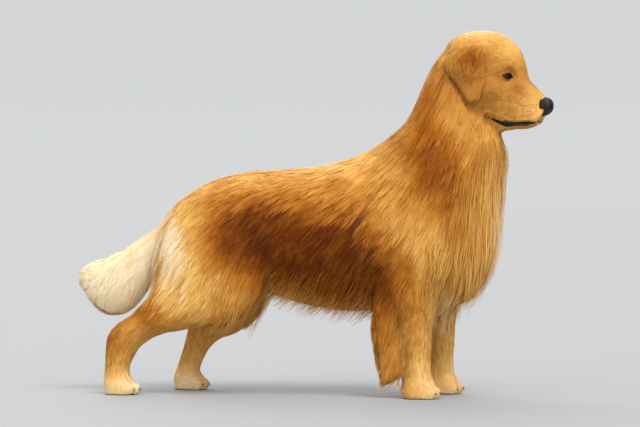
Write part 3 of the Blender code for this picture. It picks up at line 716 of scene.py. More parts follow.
def skin_material():
    """Skin with the same markings and painted shade and light as the coat, a little darker as painted shade
    where the hair parts, and a fine bump of short hair; dark and moist where bare.
    """
    scene = bpy.context.scene
    made, shader = new_material("skin", roughness=0.65, specular=0.2)
    # A little darker than the coat over it: painted shade where the hair parts, with a touch of the skin's own
    # tint.
    tint = coat_colour(made, maths(made, "SUBTRACT", attribute(made, "paleness"), 0.04))
    tint = mixed(made, 0.08, tint, (*scene.retriever_skin.skin_tint, 1.0))
    bare = attribute(made, "bare")
    feed(made, shader, "Base Color", mixed(made, bare, tint, (*scene.retriever_face.lip_black, 1.0)))
    feed(made, shader, "Roughness", ranged(made, bare, 0.65, 0.34))
    grain = noise(made, own_place(made), scale=900.0, detail=3.0)
    roughen(made, shader, grain, strength=0.4, distance=0.0006)
    return made


def bare_skin_material(name, tint, roughness, pebbles, bump_height):
    """Dark moist skin, finely pebbled, blacker where it is deep, a painted shade inside the nostrils."""
    made, shader = new_material(name, roughness=roughness, specular=0.36)
    place = own_place(made)
    cells = add_node(made, "ShaderNodeTexVoronoi", {"Vector": place, "Scale": pebbles}).outputs["Distance"]
    roughen(made, shader, cells, strength=0.5, distance=bump_height)
    clouds = noise(made, place, scale=160.0, detail=3.0)
    cloudy = mixed(made, clouds, times(tint, 0.65), times(tint, 1.7))
    # Nearly black deep in the nostrils: painted shade.
    deep = ranged(made, attribute(made, "deep"), 1.0, 0.08)
    feed(made, shader, "Base Color", dimmed(made, cloudy, deep))
    return made


def eye_material():
    """A dark brown iris round a black pupil, with a little white at the rim, under a wet cornea."""
    made, shader = new_material("eye", roughness=0.35, specular=0.05)
    iris = bpy.context.scene.retriever_face.iris
    stops = (
        (0.00, (0.002, 0.002, 0.002)),
        (0.26, (0.002, 0.002, 0.002)),
        (0.30, iris),
        (0.52, times(iris, 1.5)[:3]),
        (0.60, times(iris, 0.4)[:3]),
        (0.66, (0.09, 0.055, 0.040)),
    )
    rings = colour_ramp(made, attribute(made, "off_axis"), stops)
    threads = noise(made, own_place(made), scale=700.0, detail=4.0)
    feed(made, shader, "Base Color", dimmed(made, rings, ranged(made, threads, 0.6, 1.4)))
    shader.inputs["Coat Weight"].default_value = 0.28
    shader.inputs["Coat Roughness"].default_value = 0.03
    return made


def claw_material():
    """Dark horn, streaked along its length."""
    made, shader = new_material("claw_horn", roughness=0.35, specular=0.5)
    streaks = noise(made, stretched(made, own_place(made), (0.3, 1.0, 1.0)), scale=500.0, detail=3.0)
    tint = bpy.context.scene.retriever_face.claw
    feed(made, shader, "Base Color", mixed(made, streaks, times(tint, 0.5), times(tint, 2.2)))
    roughen(made, shader, streaks, strength=0.3, distance=0.0003)
    return made


# ---- The skin ------------------------------------------------------------------------------------
def merged_copy(names):
    """The named CAD nodes' meshes as one new mesh, with its doubles merged."""
    bm = bmesh.new()
    for name in names:
        bm.from_mesh(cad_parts[name].data)
    bmesh.ops.remove_doubles(bm, verts=bm.verts, dist=1e-5)
    mesh = bpy.data.meshes.new("merged")
    bm.to_mesh(mesh)
    bm.free()
    return mesh


def nearest_nodes(points):
    """The place in SKIN_NODES of the node that is nearest to each point."""
    verts, faces, labels = [], [], []
    for label, name in enumerate(SKIN_NODES):
        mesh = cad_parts[name].data
        start = len(verts)
        verts += [vert.co.copy() for vert in mesh.vertices]
        faces += [[start + index for index in face.vertices] for face in mesh.polygons]
        labels += [label] * len(mesh.polygons)
    find = BVHTree.FromPolygons(verts, faces).find_nearest
    return np.array([labels[find(point)[2]] for point in points])


def zone_of(name):
    return ZONES[name.removesuffix("_left").removesuffix("_right")]


def spread_along(places, count):
    """count points evenly along the line through places."""
    steps = np.linalg.norm(np.diff(places, axis=0), axis=1)
    reached = np.concatenate([[0], np.cumsum(steps)])
    wanted = np.linspace(0, reached[-1], count)
    return np.stack([np.interp(wanted, reached, column) for column in places.T], axis=1)


def rough_skin():
    """The body's solids joined into one closed surface."""
    skin = link("skin", merged_copy(SKIN_NODES))
    remesh = skin.modifiers.new("Remesh", "REMESH")
    remesh.mode = "VOXEL"
    remesh.voxel_size = bpy.context.scene.retriever_skin.grain
    apply_modifiers(skin)
    keep_largest_body(skin)
    move_points(skin.data, smoothed(points_of(skin.data), edges_of(skin.data), rounds=20))
    return skin


MOST_OF_THICKNESS = 0.26  # of a thin part, that the coat on one of its sides may take up
HEAD_REACH = 0.165  # from the middle of the skull, where the head's fine shapes end
PAW_TOP = 0.05


def from_skull(points):
    """How far each point is from the middle of the skull, in metres."""
    return np.linalg.norm(in_head_frame(points) - np.array((-0.05, 0.0, 0.0)), axis=1)


def sunk_to_skin(skin, outline):
    """Draws the coat's outer surface in to the skin, by the depth of each zone's coat."""
    mesh = skin.data
    points, normals, edges = points_of(mesh), normals_of(mesh), edges_of(mesh)
    table = np.array([zone_of(name).depth for name in SKIN_NODES])
    own = table[nearest_nodes(points)]
    # Long coat is shorter near the skull, and short coat is finer towards the nose.
    ahead = climb(in_head_frame(points)[:, 0], -0.02, 0.07) * (points[:, 2] > 0.60)
    behind = climb(from_skull(points), 0.10, 0.12, least=0.25)
    own = np.where(own > 5, own * behind, own * (1 - 0.6 * ahead))
    depth = np.minimum(evened(own, edges, rounds=20), own + 2.0) * MM
    # A thin part keeps most of its thickness.
    through = []
    for point, normal in zip(points, normals):
        through.append(outline.ray_cast(Vector(point - normal * 0.002), Vector(-normal))[3] or 1.0)
    depth = evened(np.minimum(depth, MOST_OF_THICKNESS * np.array(through)), edges, rounds=5)
    # The soles stay where they are.
    off_floor = climb(points[:, 2], 0, 0.02)
    sunk = points - normals * depth[:, None]
    sunk[:, 2] = points[:, 2] * (1 - off_floor) + np.maximum(sunk[:, 2], 0.0) * off_floor
    # The skin is smoother where the coat over it is deep.
    deep = climb(depth, 0, 0.008)[:, None]
    soft = evened(sunk, edges, rounds=8)
    move_points(mesh, sunk * (1 - 0.8 * deep) + soft * 0.8 * deep)


def away_from_line(points, line):
    """The distance of each point, of two or three coordinates, from a line through places."""
    line = np.asarray(line, float)
    nearest = np.full(len(points), np.inf)
    for start, end in zip(line[:-1], line[1:]):
        span = end - start
        share = np.clip((points - start) @ span / (span @ span), 0, 1)
        nearest = np.minimum(nearest, np.linalg.norm(points - start - share[:, None] * span, axis=1))
    return nearest


def thin_out(skin):
    """Fewer, larger faces away from the head and the paws, where nothing fine is to be made."""
    points = points_of(skin.data)
    fine = (from_skull(points) < HEAD_REACH) | (points[:, 2] < PAW_TOP)
    group = skin.vertex_groups.new(name="fine")
    group.add(np.flatnonzero(fine).tolist(), 1.0, "REPLACE")
    thinner = skin.modifiers.new("Decimate", "DECIMATE")
    thinner.ratio = bpy.context.scene.retriever_skin.kept
    thinner.vertex_group = "fine"
    thinner.invert_vertex_group = True
    thinner.vertex_group_factor = 1000.0
    apply_modifiers(skin)
    skin.vertex_groups.clear()


def sharpen(skin, where):
    """Refines the skin where the test over its points is true, and rounds off the new faces."""
    refine(skin, where(points_of(skin.data)))
    points = points_of(skin.data)
    calm = smoothed(points, edges_of(skin.data), rounds=4)
    inside = where(points)
    points[inside] = calm[inside]
    move_points(skin.data, points)


def on_face(points):
    """Which points are on the face or the ears."""
    local = in_head_frame(points) / CM
    ear = (np.abs(local[:, 1]) > 6.6) & (local[:, 0] > -15.0) & (local[:, 0] < -3.0) & (local[:, 2] > -8.0)
    return ((local[:, 0] > -2.0) & (local[:, 2] > -13.5)) | ear


def on_paws(points):
    """Which points are on the toes."""
    x, _, z = points.T
    return (z < 0.042) & ((x > 0.285) | ((x > -0.455) & (x < -0.40)) | ((x > -0.335) & (x < -0.275)))


def by_features(points):
    """Which points are near the eyes, the mouth or the nose."""
    local = in_head_frame(points) / CM
    by_eye = np.linalg.norm(np.abs(local) - np.array((0.6, 4.4, 0.0)), axis=1) < 2.1
    by_mouth = (away_from_line(local[:, [0, 2]], MOUTH_LINE) < 1.1) & (local[:, 0] > -7.0)
    return by_eye | by_mouth | ((local[:, 0] > 7.0) & (local[:, 2] > -10.0))


def fold_head(points, ear):
    """Pushes the head's folds and swellings in or out, presses in its creases and makes the nose's seat.

    ear says how much each point is of an ear's flap, which lies against the cheek.
    """
    local = in_head_frame(points) / CM
    # The flaps lie closer to the cheeks lower down.
    local[:, 1] -= np.sign(local[:, 1]) * 1.05 * eased(-local[:, 2], -6.5, 1.0) * ear
    for fold in on_both_sides(HEAD_FOLDS):
        away = np.sum((local - np.array(fold.at)) ** 2, axis=1) / fold.radius**2
        local += np.clip(1 - away, 0, 1)[:, None] ** 2 * np.array(fold.push)
    x, y, z = local.T
    beside = (np.abs(y) > 1.5) & (x > -9.0) & (z > -13.0) & (from_skull(points) < 0.17)
    for crease in CREASES:
        pressed = hump(away_from_line(local[:, [0, 2]], crease.line), 0, crease.width)
        local[:, 1] -= np.sign(y) * crease.depth * pressed * beside
    # The nose's seat is a little narrower than the leather, and flat on top.
    seat = eased(x, 6.2, 8.4) * eased(z, -10.4, -7.8)
    narrow = y / (1 + (np.abs(y) / 1.62) ** 5) ** 0.2
    local[:, 1] = y * (1 - seat) + narrow * seat
    top = eased(x, 8.2, 9.0) * (z > -5.0)
    local[:, 2] = z * (1 - top) - 5.0 * top
    return from_head_frame(local * CM)


def eye_frame(side):
    """The eye's own frame: X along the opening towards the nose, Y up across it, Z the way the eye looks."""
    centre = centre_of(f"eye_{SIDES[side]}")
    look = HEAD.to_3x3() @ Vector((0.78, side * 0.60, -0.10)).normalized()
    up = (HEAD.to_3x3() @ Vector((0.21, 0.0, 1.0))).normalized()
    along = look.cross(up).normalized() * side
    over = along.cross(look).normalized() * side
    matrix = Matrix((along, over, look)).transposed().to_4x4()
    return Matrix.Translation(centre) @ matrix


def in_eye_frame(points, side):
    matrix = np.array(eye_frame(side))
    return (points - matrix[:3, 3]) @ matrix[:3, :3]


def from_eye_frame(points, side):
    matrix = np.array(eye_frame(side))
    return points @ matrix[:3, :3].T + matrix[:3, 3]


EYE_RADIUS = (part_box("eye_left")[1][2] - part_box("eye_left")[0][2]) / 2
LID_CURVE = 0.017  # the radius of the lids' bulge over the eyeball
LID_THICKNESS = 0.0012
LID_EDGE = 0.0105  # from the eye's axis, where the bulge becomes a slope
LID_SLOPE = 0.36
LID_REACH = 0.025  # from the eye's axis, where the lids have blended into the face
NEAR_EYE = 0.045  # from the eye's centre, where the distance to the lids' opening still matters
SOCKET = -0.004  # along the eye's axis, where its socket starts behind the lids


def lid_height(away):
    """How far in front of the eyeball's centre the lids are, at a distance from its axis."""
    near = np.minimum(away, LID_EDGE)
    return EYE_RADIUS + LID_THICKNESS - near**2 / (2 * LID_CURVE) - LID_SLOPE * (away - near)


def lid_outline(turn):
    """The opening between the lids: an almond, higher towards the nose, that ends there in a point."""
    face = bpy.context.scene.retriever_face
    ahead = np.cos(turn)
    arch = 1 - ahead**2
    x = 0.5 * face.eye_width * ahead
    upper, lower = face.upper_lid * (1 + 0.30 * ahead), face.lower_lid * (1 - 0.15 * ahead)
    y = np.where(np.sin(turn) > 0, upper, -lower) * arch
    corner = np.clip(ahead, 0, 1) ** 8
    return x + 0.0014 * corner, y - 0.0009 * corner


def inside_lids(points, side):
    """The points in the eye's own frame, and how far each is outside the lids' opening, below 0 inside it."""
    local = in_eye_frame(points, side)
    outline = np.stack(lid_outline(np.linspace(0, 2 * math.pi, 97)), axis=1)
    half = len(outline) // 2
    away = np.full(len(points), FAR)
    near = (np.linalg.norm(local, axis=1) < NEAR_EYE) & (local[:, 2] > SOCKET)
    away[near] = away_from_line(local[near, :2], outline)
    x, y = local[:, 0], local[:, 1]
    upper = np.interp(x, outline[half::-1, 0], outline[half::-1, 1], left=0, right=0)
    lower = np.interp(x, outline[half:, 0], outline[half:, 1], left=0, right=0)
    within = near & (y < upper) & (y > lower)
    return local, np.where(within, -away, away)


def part_toes(points, normals):
    """Presses in the gaps between the toes."""
    for paw in [name for name in SKIN_NODES if "paw" in name]:
        spots = [centre_of(f"{paw}_claw_{number}") for number in range(1, 5)]
        claws = np.array(sorted(spots, key=lambda spot: spot.y))
        low, high = box_of(paw)
        middle = (low[1] + high[1]) / 2
        x, y, z = points.T
        own = (y > low[1] - 0.01) & (y < high[1] + 0.01) & (z < high[2] + 0.01)
        own &= (x > low[0]) & (x < high[0] + 0.01)
        ahead = eased(x, high[0] - 0.055, high[0] - 0.025) * own
        for first, second in zip(claws[:-1], claws[1:]):
            gap = middle + ((first[1] + second[1]) / 2 - middle) * (0.72 + 0.28 * ahead)
            groove = hump(points[:, 1], gap, 0.0030) * ahead
            points = points - normals * (0.0042 * groove)[:, None]
    return points


def open_lids(points):
    """Lays the skin over each eyeball as lids, and sinks it inside their opening."""
    bare = np.zeros(len(points))
    for side in SIDES:
        local, outside = inside_lids(points, side)
        away = np.linalg.norm(local[:, :2], axis=1)
        near = (away < LID_REACH) & (local[:, 2] > SOCKET)
        hold = 1 - eased(away, 0.0125, LID_REACH)
        target = lid_height(away) - 0.007 * climb(outside, 0.0002, -0.0014)
        # The upper lid is full along its edge, with a fold above it. The lower lid is only a little full.
        above = eased(local[:, 1], -0.002, 0.003)
        target += 0.0010 * hump(outside, 0.0032, 0.0018) * above
        target -= 0.0010 * hump(outside, 0.0062, 0.0014) * above
        target += 0.0006 * hump(outside, 0.0022, 0.0014) * (1 - above)
        local[:, 2] = np.where(near, local[:, 2] * (1 - hold) + target * hold, local[:, 2])
        points = np.where(near[:, None], from_eye_frame(local, side), points)
        bare = np.maximum(bare, np.where(near, climb(outside, 0.0015, -0.0008), 0))
    return points, bare


def mouth_path(points, mesh):
    """The line where the lips meet, on the skin, from the left corner round the front to the right one."""
    tree = tree_of(mesh, points)
    across = HEAD.to_3x3() @ Vector((0, -1, 0))
    places = []
    for x, _, z in spread_along(np.array([(x, 0.0, z) for x, z in MOUTH_LINE]), 36) * CM:
        hit = tree.ray_cast(Vector(from_head_frame((x, 0.07, z))), across)[0]
        if hit is not None:
            places.append(in_head_frame(np.array(hit)))
    side = np.array(places)
    last = side[-1]
    for turn in np.linspace(0.15, math.pi / 2, 10):
        guess = last * (1, math.cos(turn), 1) + np.array((0.024, 0.0, 0.007)) * math.sin(turn)
        place = tree.find_nearest(Vector(from_head_frame(guess)))[0]
        side = np.vstack([side, in_head_frame(np.array(place))])
    side[-1, 1] = 0.0
    whole = np.vstack([side, (side * (1, -1, 1))[-2::-1]])
    for _ in range(3):
        whole[1:-1] = (whole[:-2] + 2 * whole[1:-1] + whole[2:]) / 4
    return from_head_frame(whole)


def part_lips(points, path):
    """Presses in the line of the mouth, rolls the lips out beside it, and says where their skin is bare."""
    face = bpy.context.scene.retriever_face
    local, line = in_head_frame(points), in_head_frame(path)
    near = np.flatnonzero((local[:, 0] > -0.08) & (local[:, 2] < -0.05) & (local[:, 2] > -0.15))
    spot = local[near]
    away = away_from_line(spot, line)
    closest = nearest_in(points_tree(line), spot)
    rise = spot[:, 2] - line[closest, 2]
    end = np.minimum(closest, len(line) - 1 - closest)
    inside = climb(end, 0, 4.0)
    front = eased(end, 34, 43)
    # The lips meet in a groove, and are full above and below it.
    outward = unit((spot - np.array((0.02, 0, 0))) * (0.5, 1, 0))
    groove = -0.0036 * hump(away, 0, 0.0016)
    upper = 0.0026 * hump(away, 0.0048, 0.0034) * inside * (rise > 0) * (1 - front)
    lower = 0.0020 * hump(away, 0.0052, 0.0026) * inside * (rise < 0)
    spot = spot + outward * (groove + upper + lower)[:, None]
    bare = np.zeros(len(points))
    reach = face.lip_band * (0.35 + 0.65 * inside) * (1 - 0.6 * front)
    reach = np.where(rise < 0, reach, 0.0008)
    bare[near] = climb(away, reach, -0.0014)
    local[near] = spot
    # A furrow parts the upper lip in front, from the mouth up to the nose.
    middle = hump(local[:, 1], 0, 0.0016) * (local[:, 0] > 0.072)
    middle *= eased(local[:, 2], -0.112, -0.108) * (1 - eased(local[:, 2], -0.090, -0.084))
    local[:, 0] -= 0.0014 * middle
    return from_head_frame(local), np.maximum(bare, np.clip(2.2 * middle, 0, 1))


def unwrap(obj):
    """Unfolds the skin by its own shape, into a map for its colours that the hairs' roots share."""
    select_only(obj)
    while obj.data.uv_layers:
        obj.data.uv_layers.remove(obj.data.uv_layers[0])
    obj.data.uv_layers.new(name="OFBake")
    bpy.ops.object.mode_set(mode="EDIT")
    bpy.ops.mesh.select_all(action="SELECT")
    bpy.ops.uv.smart_project(angle_limit=math.radians(66), island_margin=0.002)
    bpy.ops.object.mode_set(mode="OBJECT")


def make_skin():
    """The one skin that stands for the nodes of flesh."""
    skin = rough_skin()
    outline = tree_of(skin.data)
    state["outline"] = outline
    sunk_to_skin(skin, outline)
    thin_out(skin)
    for where in (on_face, on_paws, by_features):
        sharpen(skin, where)
    points = part_toes(points_of(skin.data), normals_of(skin.data))
    ears = [index for index, name in enumerate(SKIN_NODES) if "ear_" in name]
    ear = np.isin(nearest_nodes(points), ears)
    points = fold_head(points, evened(ear, edges_of(skin.data), rounds=6))
    points, lip_skin = part_lips(points, mouth_path(points, skin.data))
    points, lid_skin = open_lids(points)
    move_points(skin.data, points)
    skin.data.shade_smooth()
    unwrap(skin)
    store(skin.data, "paleness", paleness(points))
    sole = climb(points[:, 2], 0.003, -0.001)
    store(skin.data, "bare", np.maximum.reduce([lid_skin, lip_skin, sole]))
    dress(skin, skin_material())
    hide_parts(*SKIN_NODES)
    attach(skin, ROOT)
    return skin


# ---- The coat ------------------------------------------------------------------------------------
class Pelt:
    """The skin's surface, and at each of its vertices, what the coat is like there."""

    def __init__(self, skin):
        mesh = skin.data
        edges = edges_of(mesh)
        self.points, self.normals = points_of(mesh), normals_of(mesh)
        self.bare = rows_of(mesh.attributes["bare"].data, "value", 1).ravel()
        self.kind = nearest_nodes(self.points)
        table = np.array([zone_of(name) for name in SKIN_NODES], float)
        self.zones = evened(table[self.kind], edges, rounds=12)
        self.flow = lie_of_coat(self.points, self.normals, edges)
        self.paleness = paleness(self.points)
        self.tree = points_tree(self.points)
        self.outline = state["outline"]
        depth = np.array([depth_inside(self.outline, point) for point in self.points])
        self.depth = evened(np.clip(depth, ROOT_DEPTH, 0.02), edges, rounds=3)
        mesh.calc_loop_triangles()
        self.triangles = rows_of(mesh.loop_triangles, "vertices", 3, np.int32)
        loops = rows_of(mesh.loop_triangles, "loops", 3, np.int32)
        self.spots = rows_of(mesh.uv_layers["OFBake"].data, "uv", 2)[loops]
        corners = self.points[self.triangles]
        first, second = corners[:, 1] - corners[:, 0], corners[:, 2] - corners[:, 0]
        self.area = 0.5 * np.linalg.norm(np.cross(first, second), axis=1)


# Where hairs start: their places, a vertex of the skin beside each, and their spots on the skin's map.
Roots = namedtuple("Roots", "points vertex spot")
# Combed hairs: their paths, the way up at each point, how wide they are, how far they stand off the skin,
# their spots on the skin's map, their own shades, and how pale the coat is at their roots.
Hairs = namedtuple("Hairs", "path up width free spot shade pale")


def sow(pelt, where, rng, fullness=1.0):
    """Roots spread over the skin's triangles where the mask over its vertices is true."""
    face_vertex = pelt.triangles[:, 0]
    chosen = np.flatnonzero(where[pelt.triangles].all(axis=1))
    spacing = pelt.zones[face_vertex[chosen], Zone._fields.index("spacing")] * MM
    wanted = pelt.area[chosen] / spacing**2 * fullness
    count = np.floor(wanted + rng.random(len(chosen))).astype(int)
    face = np.repeat(chosen, count)
    shares = rng.dirichlet((1.0, 1.0, 1.0), len(face))
    points = np.einsum("ij,ijk->ik", shares, pelt.points[pelt.triangles[face]])
    spot = np.einsum("ij,ijk->ik", shares, pelt.spots[face])
    return Roots(points, face_vertex[face], spot)


def comb(pelt, roots, steps, growth):
    """Each hair's path from its root, and the way that is up from the skin at each of its points.

    growth holds these for each root. In metres: length, wave, how far the hair swings, and depth, the
    coat's own. level is the share of the depth that the hair rises to, and tuck is how much of it the tip
    gives up. phase sets off its swing, sag bends it down, and gather draws it to its leader, the root whose
    lock it joins. start is the way that it sets out, stray_way turns it from the lie of the coat, and hold
    is how much it follows the skin.
    """
    waviness = bpy.context.scene.retriever_coat.waviness
    count = len(roots.points)
    path = np.empty((count, steps + 1, 3))
    up = np.empty((count, steps + 1, 3))
    path[:, 0] = roots.points - pelt.normals[roots.vertex] * ROOT_DEPTH
    up[:, 0] = pelt.normals[roots.vertex]
    where = roots.vertex
    level, hold, tuck = (growth[name][:, None] for name in ("level", "hold", "tuck"))
    way = growth["start"].copy()
    for step in range(1, steps + 1):
        share = step / steps
        follow = pelt.flow[where] + growth["stray_way"]
        way = unit(way * (1 - TURNING * hold) + unit(follow) * TURNING * hold)
        way = unit(way + DOWN * (growth["sag"] * share * SINKING)[:, None])
        here = path[:, step - 1] + way * (growth["length"] / steps)[:, None]
        where = nearest_in(pelt.tree, here)
        normal = pelt.normals[where]
        height = np.sum((here - pelt.points[where]) * normal, axis=1, keepdims=True)
        lifted = growth["depth"][:, None] * level * (1 - (1 - share) ** 1.6) * (1 - tuck * share**2)
        here += normal * np.where(height < lifted, lifted - height, (lifted - height) * hold)
        path[:, step] = here
        up[:, step] = normal
    along = np.linspace(0, 1, steps + 1)
    side = unit(np.cross(up, np.gradient(path, axis=1)))
    turns = 2 * math.pi * along[None, :] * growth["length"][:, None] / WAVE_LENGTH
    swing = np.sin(turns + growth["phase"][:, None]) - np.sin(growth["phase"])[:, None]
    swing = swing * along**0.8
    path += side * (swing * growth["wave"][:, None] * waviness)[:, :, None]
    leader = growth["leader"]
    own = roots.points - roots.points[leader]
    pull = growth["gather"][:, None, None] * (along**1.4)[None, :, None]
    path = path * (1 - pull) + (path[leader] + own[:, None, :] * LOCK_WIDTH) * pull
    return path, up


def leaders(points, rng, share):
    """For each root, the root of the lock that it belongs to."""
    heads = np.flatnonzero(rng.random(len(points)) < share)
    return nearest_in(points_tree(points, heads), points)


def keep_inside(pelt, path, stray):
    """Draws back each point that would pass the body's outline by more than stray, or touch the floor."""
    find = pelt.outline.find_nearest
    for row, limit in zip(path, stray):
        for point in row[2:]:
            place, normal, _, _ = find(point)
            x, y, z = point
            out = (x - place.x) * normal.x + (y - place.y) * normal.y + (z - place.z) * normal.z
            if out > limit:
                point -= np.array(normal) * (out - limit)
    path[:, :, 2] = np.maximum(path[:, :, 2], FLOOR_GAP)


def blade_faces(rings):
    """One blade's faces: their corners, how many each has, and which corners belong to the side below."""
    faces, below = [], []
    for ring in range(0, 3 * rings - 3, 3):
        for first, second in ((0, 1), (1, 2), (2, 0)):
            faces.append((ring + second, ring + first, ring + 3 + first, ring + 3 + second))
            below += [first == 0] * 4
    faces.append((0, 1, 2))
    below += [True] * 3
    tip = 3 * rings
    for first, second in ((0, 1), (1, 2), (2, 0)):
        faces.append((tip - 3 + second, tip - 3 + first, tip))
        below += [first == 0] * 3
    corners = np.array([corner for face in faces for corner in face])
    return corners, np.array([len(face) for face in faces]), np.array(below)


def new_mesh(name, verts, corners, sizes):
    """A mesh of faces that have their corners one after another, each face as many as its size."""
    mesh = bpy.data.meshes.new(name)
    mesh.vertices.add(len(verts))
    mesh.vertices.foreach_set("co", verts.astype(np.float32).ravel())
    mesh.loops.add(len(corners))
    mesh.loops.foreach_set("vertex_index", corners.astype(np.int32))
    mesh.polygons.add(len(sizes))
    mesh.polygons.foreach_set("loop_start", (np.cumsum(sizes) - sizes).astype(np.int32))
    mesh.polygons.foreach_set("loop_total", sizes.astype(np.int32))
    mesh.update(calc_edges=True)
    return mesh


def lay_map(mesh, name, spots):
    """Gives the mesh a map with a spot for each corner."""
    mesh.uv_layers.new(name=name).data.foreach_set("uv", spots.astype(np.float32).ravel())


def blades(name, hairs):
    """A closed three-sided blade along each hair's path, all joined in one mesh.

    A blade's own roundness shows as far as it stands off the skin: flat on it, it is lit as the skin is.
    """
    path, up = hairs.path, hairs.up
    count, rings = len(path), path.shape[1] - 1
    along = np.linspace(0, 1, rings + 1)
    tangent = unit(np.gradient(path, axis=1))
    side = unit(np.cross(tangent, up))
    over = unit(np.cross(side, tangent))
    girth = (0.7 + 0.6 * along) * np.clip(1 - along, 0, 1) ** 0.7 * hairs.width[:, None]
    half = 0.5 * girth[:, :, None]
    sides = np.stack([path - side * half, path + side * half, path + over * half * BLADE_RIDGE], axis=2)
    steep = climb(np.abs(np.sum(tangent * up, axis=2)), 0.35, 0.35)
    loose = np.maximum(hairs.free[:, None], steep)[:, :, None]
    base, lean = up * (1 - loose) + over * loose, side * (0.15 + 0.45 * loose)
    facing = unit(np.stack([base - lean, base + lean, base + over * 0.5], axis=2))
    verts = np.concatenate([sides[:, :rings].reshape(count, -1, 3), path[:, -1:]], axis=1)
    above = np.concatenate([facing[:, :rings].reshape(count, -1, 3), unit(base)[:, -1:]], axis=1)
    below = -np.concatenate([np.repeat(over[:, :rings], 3, axis=1), over[:, -1:]], axis=1)
    corners, sizes, beneath = blade_faces(rings)
    normals = np.where(beneath[None, :, None], below[:, corners], above[:, corners])
    per = 3 * rings + 1
    start = (np.arange(count) * per)[:, None]
    mesh = new_mesh(name, verts.reshape(-1, 3), (start + corners[None, :]).ravel(), np.tile(sizes, count))
    share = np.append(np.repeat(along[:rings], 3), 1.0)
    across = np.tile(np.append(np.tile((0.0, 1.0, 0.5), rings), 0.5)[corners], count)
    ahead = np.tile(share[corners], count)
    owner = np.repeat(np.arange(count), len(corners))
    shade = hairs.shade[owner]
    lay_map(mesh, "OFBake", hairs.spot[owner] + np.stack([across - 0.5, ahead - 0.5], axis=1) * PATCH)
    lay_map(mesh, "Strand", np.stack([across + 7.0 * shade, ahead * 3 + 31.0 * shade], axis=1))
    store(mesh, "along", np.tile(share, count))
    store(mesh, "shade", np.repeat(hairs.shade, per))
    store(mesh, "paleness", np.repeat(hairs.pale, per))
    mesh.shade_smooth()
    mesh.normals_split_custom_set(normals.reshape(-1, 3).astype(np.float32))
    mesh.materials.append(hair_material())
    return link(name, mesh)


def finish_coat(name, hairs, places):
    """Makes the hairs as pieces that are small enough, each of hairs that stand beside each other."""
    triangles = 6 * (hairs.path.shape[1] - 2) + 4
    pieces = max(1, math.ceil(len(places) / (MOST_TRIANGLES // triangles)))
    order = np.argsort(places[:, 0] + 0.2 * places[:, 2], kind="stable")
    for number, chosen in enumerate(np.array_split(order, pieces), start=1):
        label = name if pieces == 1 else f"{name}_{number}"
        piece = blades(label, Hairs(*[part[chosen] for part in hairs]))
        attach(piece, ROOT)


def grow_coat(
    pelt, name, where, steps, seed, leading=0.10, slot="golden_coat", shape=None, thickness=1.0
):
    """Sows, combs and makes one stretch of coat, where the mask over the skin's vertices is true.

    steps is how many parts a blade has, leading is the share of the hairs that lead a lock, thickness is how
    thick this coat is sown, and shape may change its growth before it is combed.
    """
    coat = bpy.context.scene.retriever_coat
    rng = np.random.default_rng(coat.seed * 1000 + seed)
    fullness = coat.fullness * thickness * 1.0
    roots = sow(pelt, where, rng, fullness)
    count = len(roots.points)
    zone = {field: pelt.zones[roots.vertex, index] for index, field in enumerate(Zone._fields)}
    leader = leaders(roots.points, rng, leading)
    lock_value = rng.random(count)[leader]
    own_value = rng.random(count)
    # Each lock is a little unlike the next, and each hair unlike the rest of its lock.
    drift = ripple(roots.points, wavelength=0.08, seed=11)
    patches = ripple(roots.points, wavelength=0.05, seed=5)
    growth = {
        "length": zone["length"] * MM * (0.75 + 0.3 * lock_value + 0.2 * own_value),
        "depth": pelt.depth[roots.vertex],
        "level": 0.82 + 0.10 * lock_value + 0.08 * own_value,
        "tuck": np.full(count, 0.32),
        "paler": np.zeros(count),
        "sag": zone["sag"],
        "wave": zone["wave"] * MM * (0.5 + lock_value),
        "gather": zone["gather"] * (0.6 + 0.8 * rng.random(count)[leader]),
        "stray": zone["stray"] * MM,
        "phase": 2 * math.pi * (0.7 * drift + 0.25 * rng.random(count)[leader]),
        "leader": leader,
        "hold": np.full(count, 0.95),
        "stray_way": 0.06 * rng.normal(size=(count, 3)) + 0.10 * rng.normal(size=(count, 3))[leader],
        "start": pelt.flow[roots.vertex] + 0.2 * pelt.normals[roots.vertex],
        "width": zone["width"] * MM * (0.75 + 0.5 * own_value),
    }
    growth["start"] = unit(growth["start"])
    if shape:
        shape(roots, growth, rng)
    path, up = comb(pelt, roots, steps, growth)
    keep_inside(pelt, path, growth["stray"] * (0.3 + 0.7 * own_value))
    shade = 0.5 + 0.55 * (lock_value - 0.5) + 0.36 * (own_value - 0.5) + 0.1 * patches
    shade = np.clip(shade, 0, 1)
    pale = np.clip(pelt.paleness[roots.vertex] + growth["paler"], 0, 1)
    free = np.clip(1.0 - growth["hold"], 0.0, 1.0)
    finish_coat(name, Hairs(path, up, growth["width"], free, roots.spot, shade, pale), roots.points)


# ---- The features --------------------------------------------------------------------------------
def swept_tube(name, places, radii, closed):
    """A tube through the places, as thick at each as its radius."""
    data = bpy.data.curves.new(name, "CURVE")
    data.dimensions = "3D"
    data.bevel_depth = 1.0
    data.bevel_resolution = 3
    data.use_fill_caps = not closed
    spline = data.splines.new("POLY")
    spline.points.add(len(places) - 1)
    for point, place, radius in zip(spline.points, places, radii):
        point.co = (*place, 1.0)
        point.radius = radius
    spline.use_cyclic_u = closed
    select_only(link(name, data))
    bpy.ops.object.convert(target="MESH")
    tube = bpy.context.view_layer.objects.active
    select_only(tube)
    bpy.ops.object.mode_set(mode="EDIT")
    bpy.ops.mesh.select_all(action="SELECT")
    bpy.ops.mesh.remove_doubles(threshold=1e-6)
    bpy.ops.mesh.normals_make_consistent(inside=False)
    bpy.ops.object.mode_set(mode="OBJECT")
    tube.data.shade_smooth()
    return tube


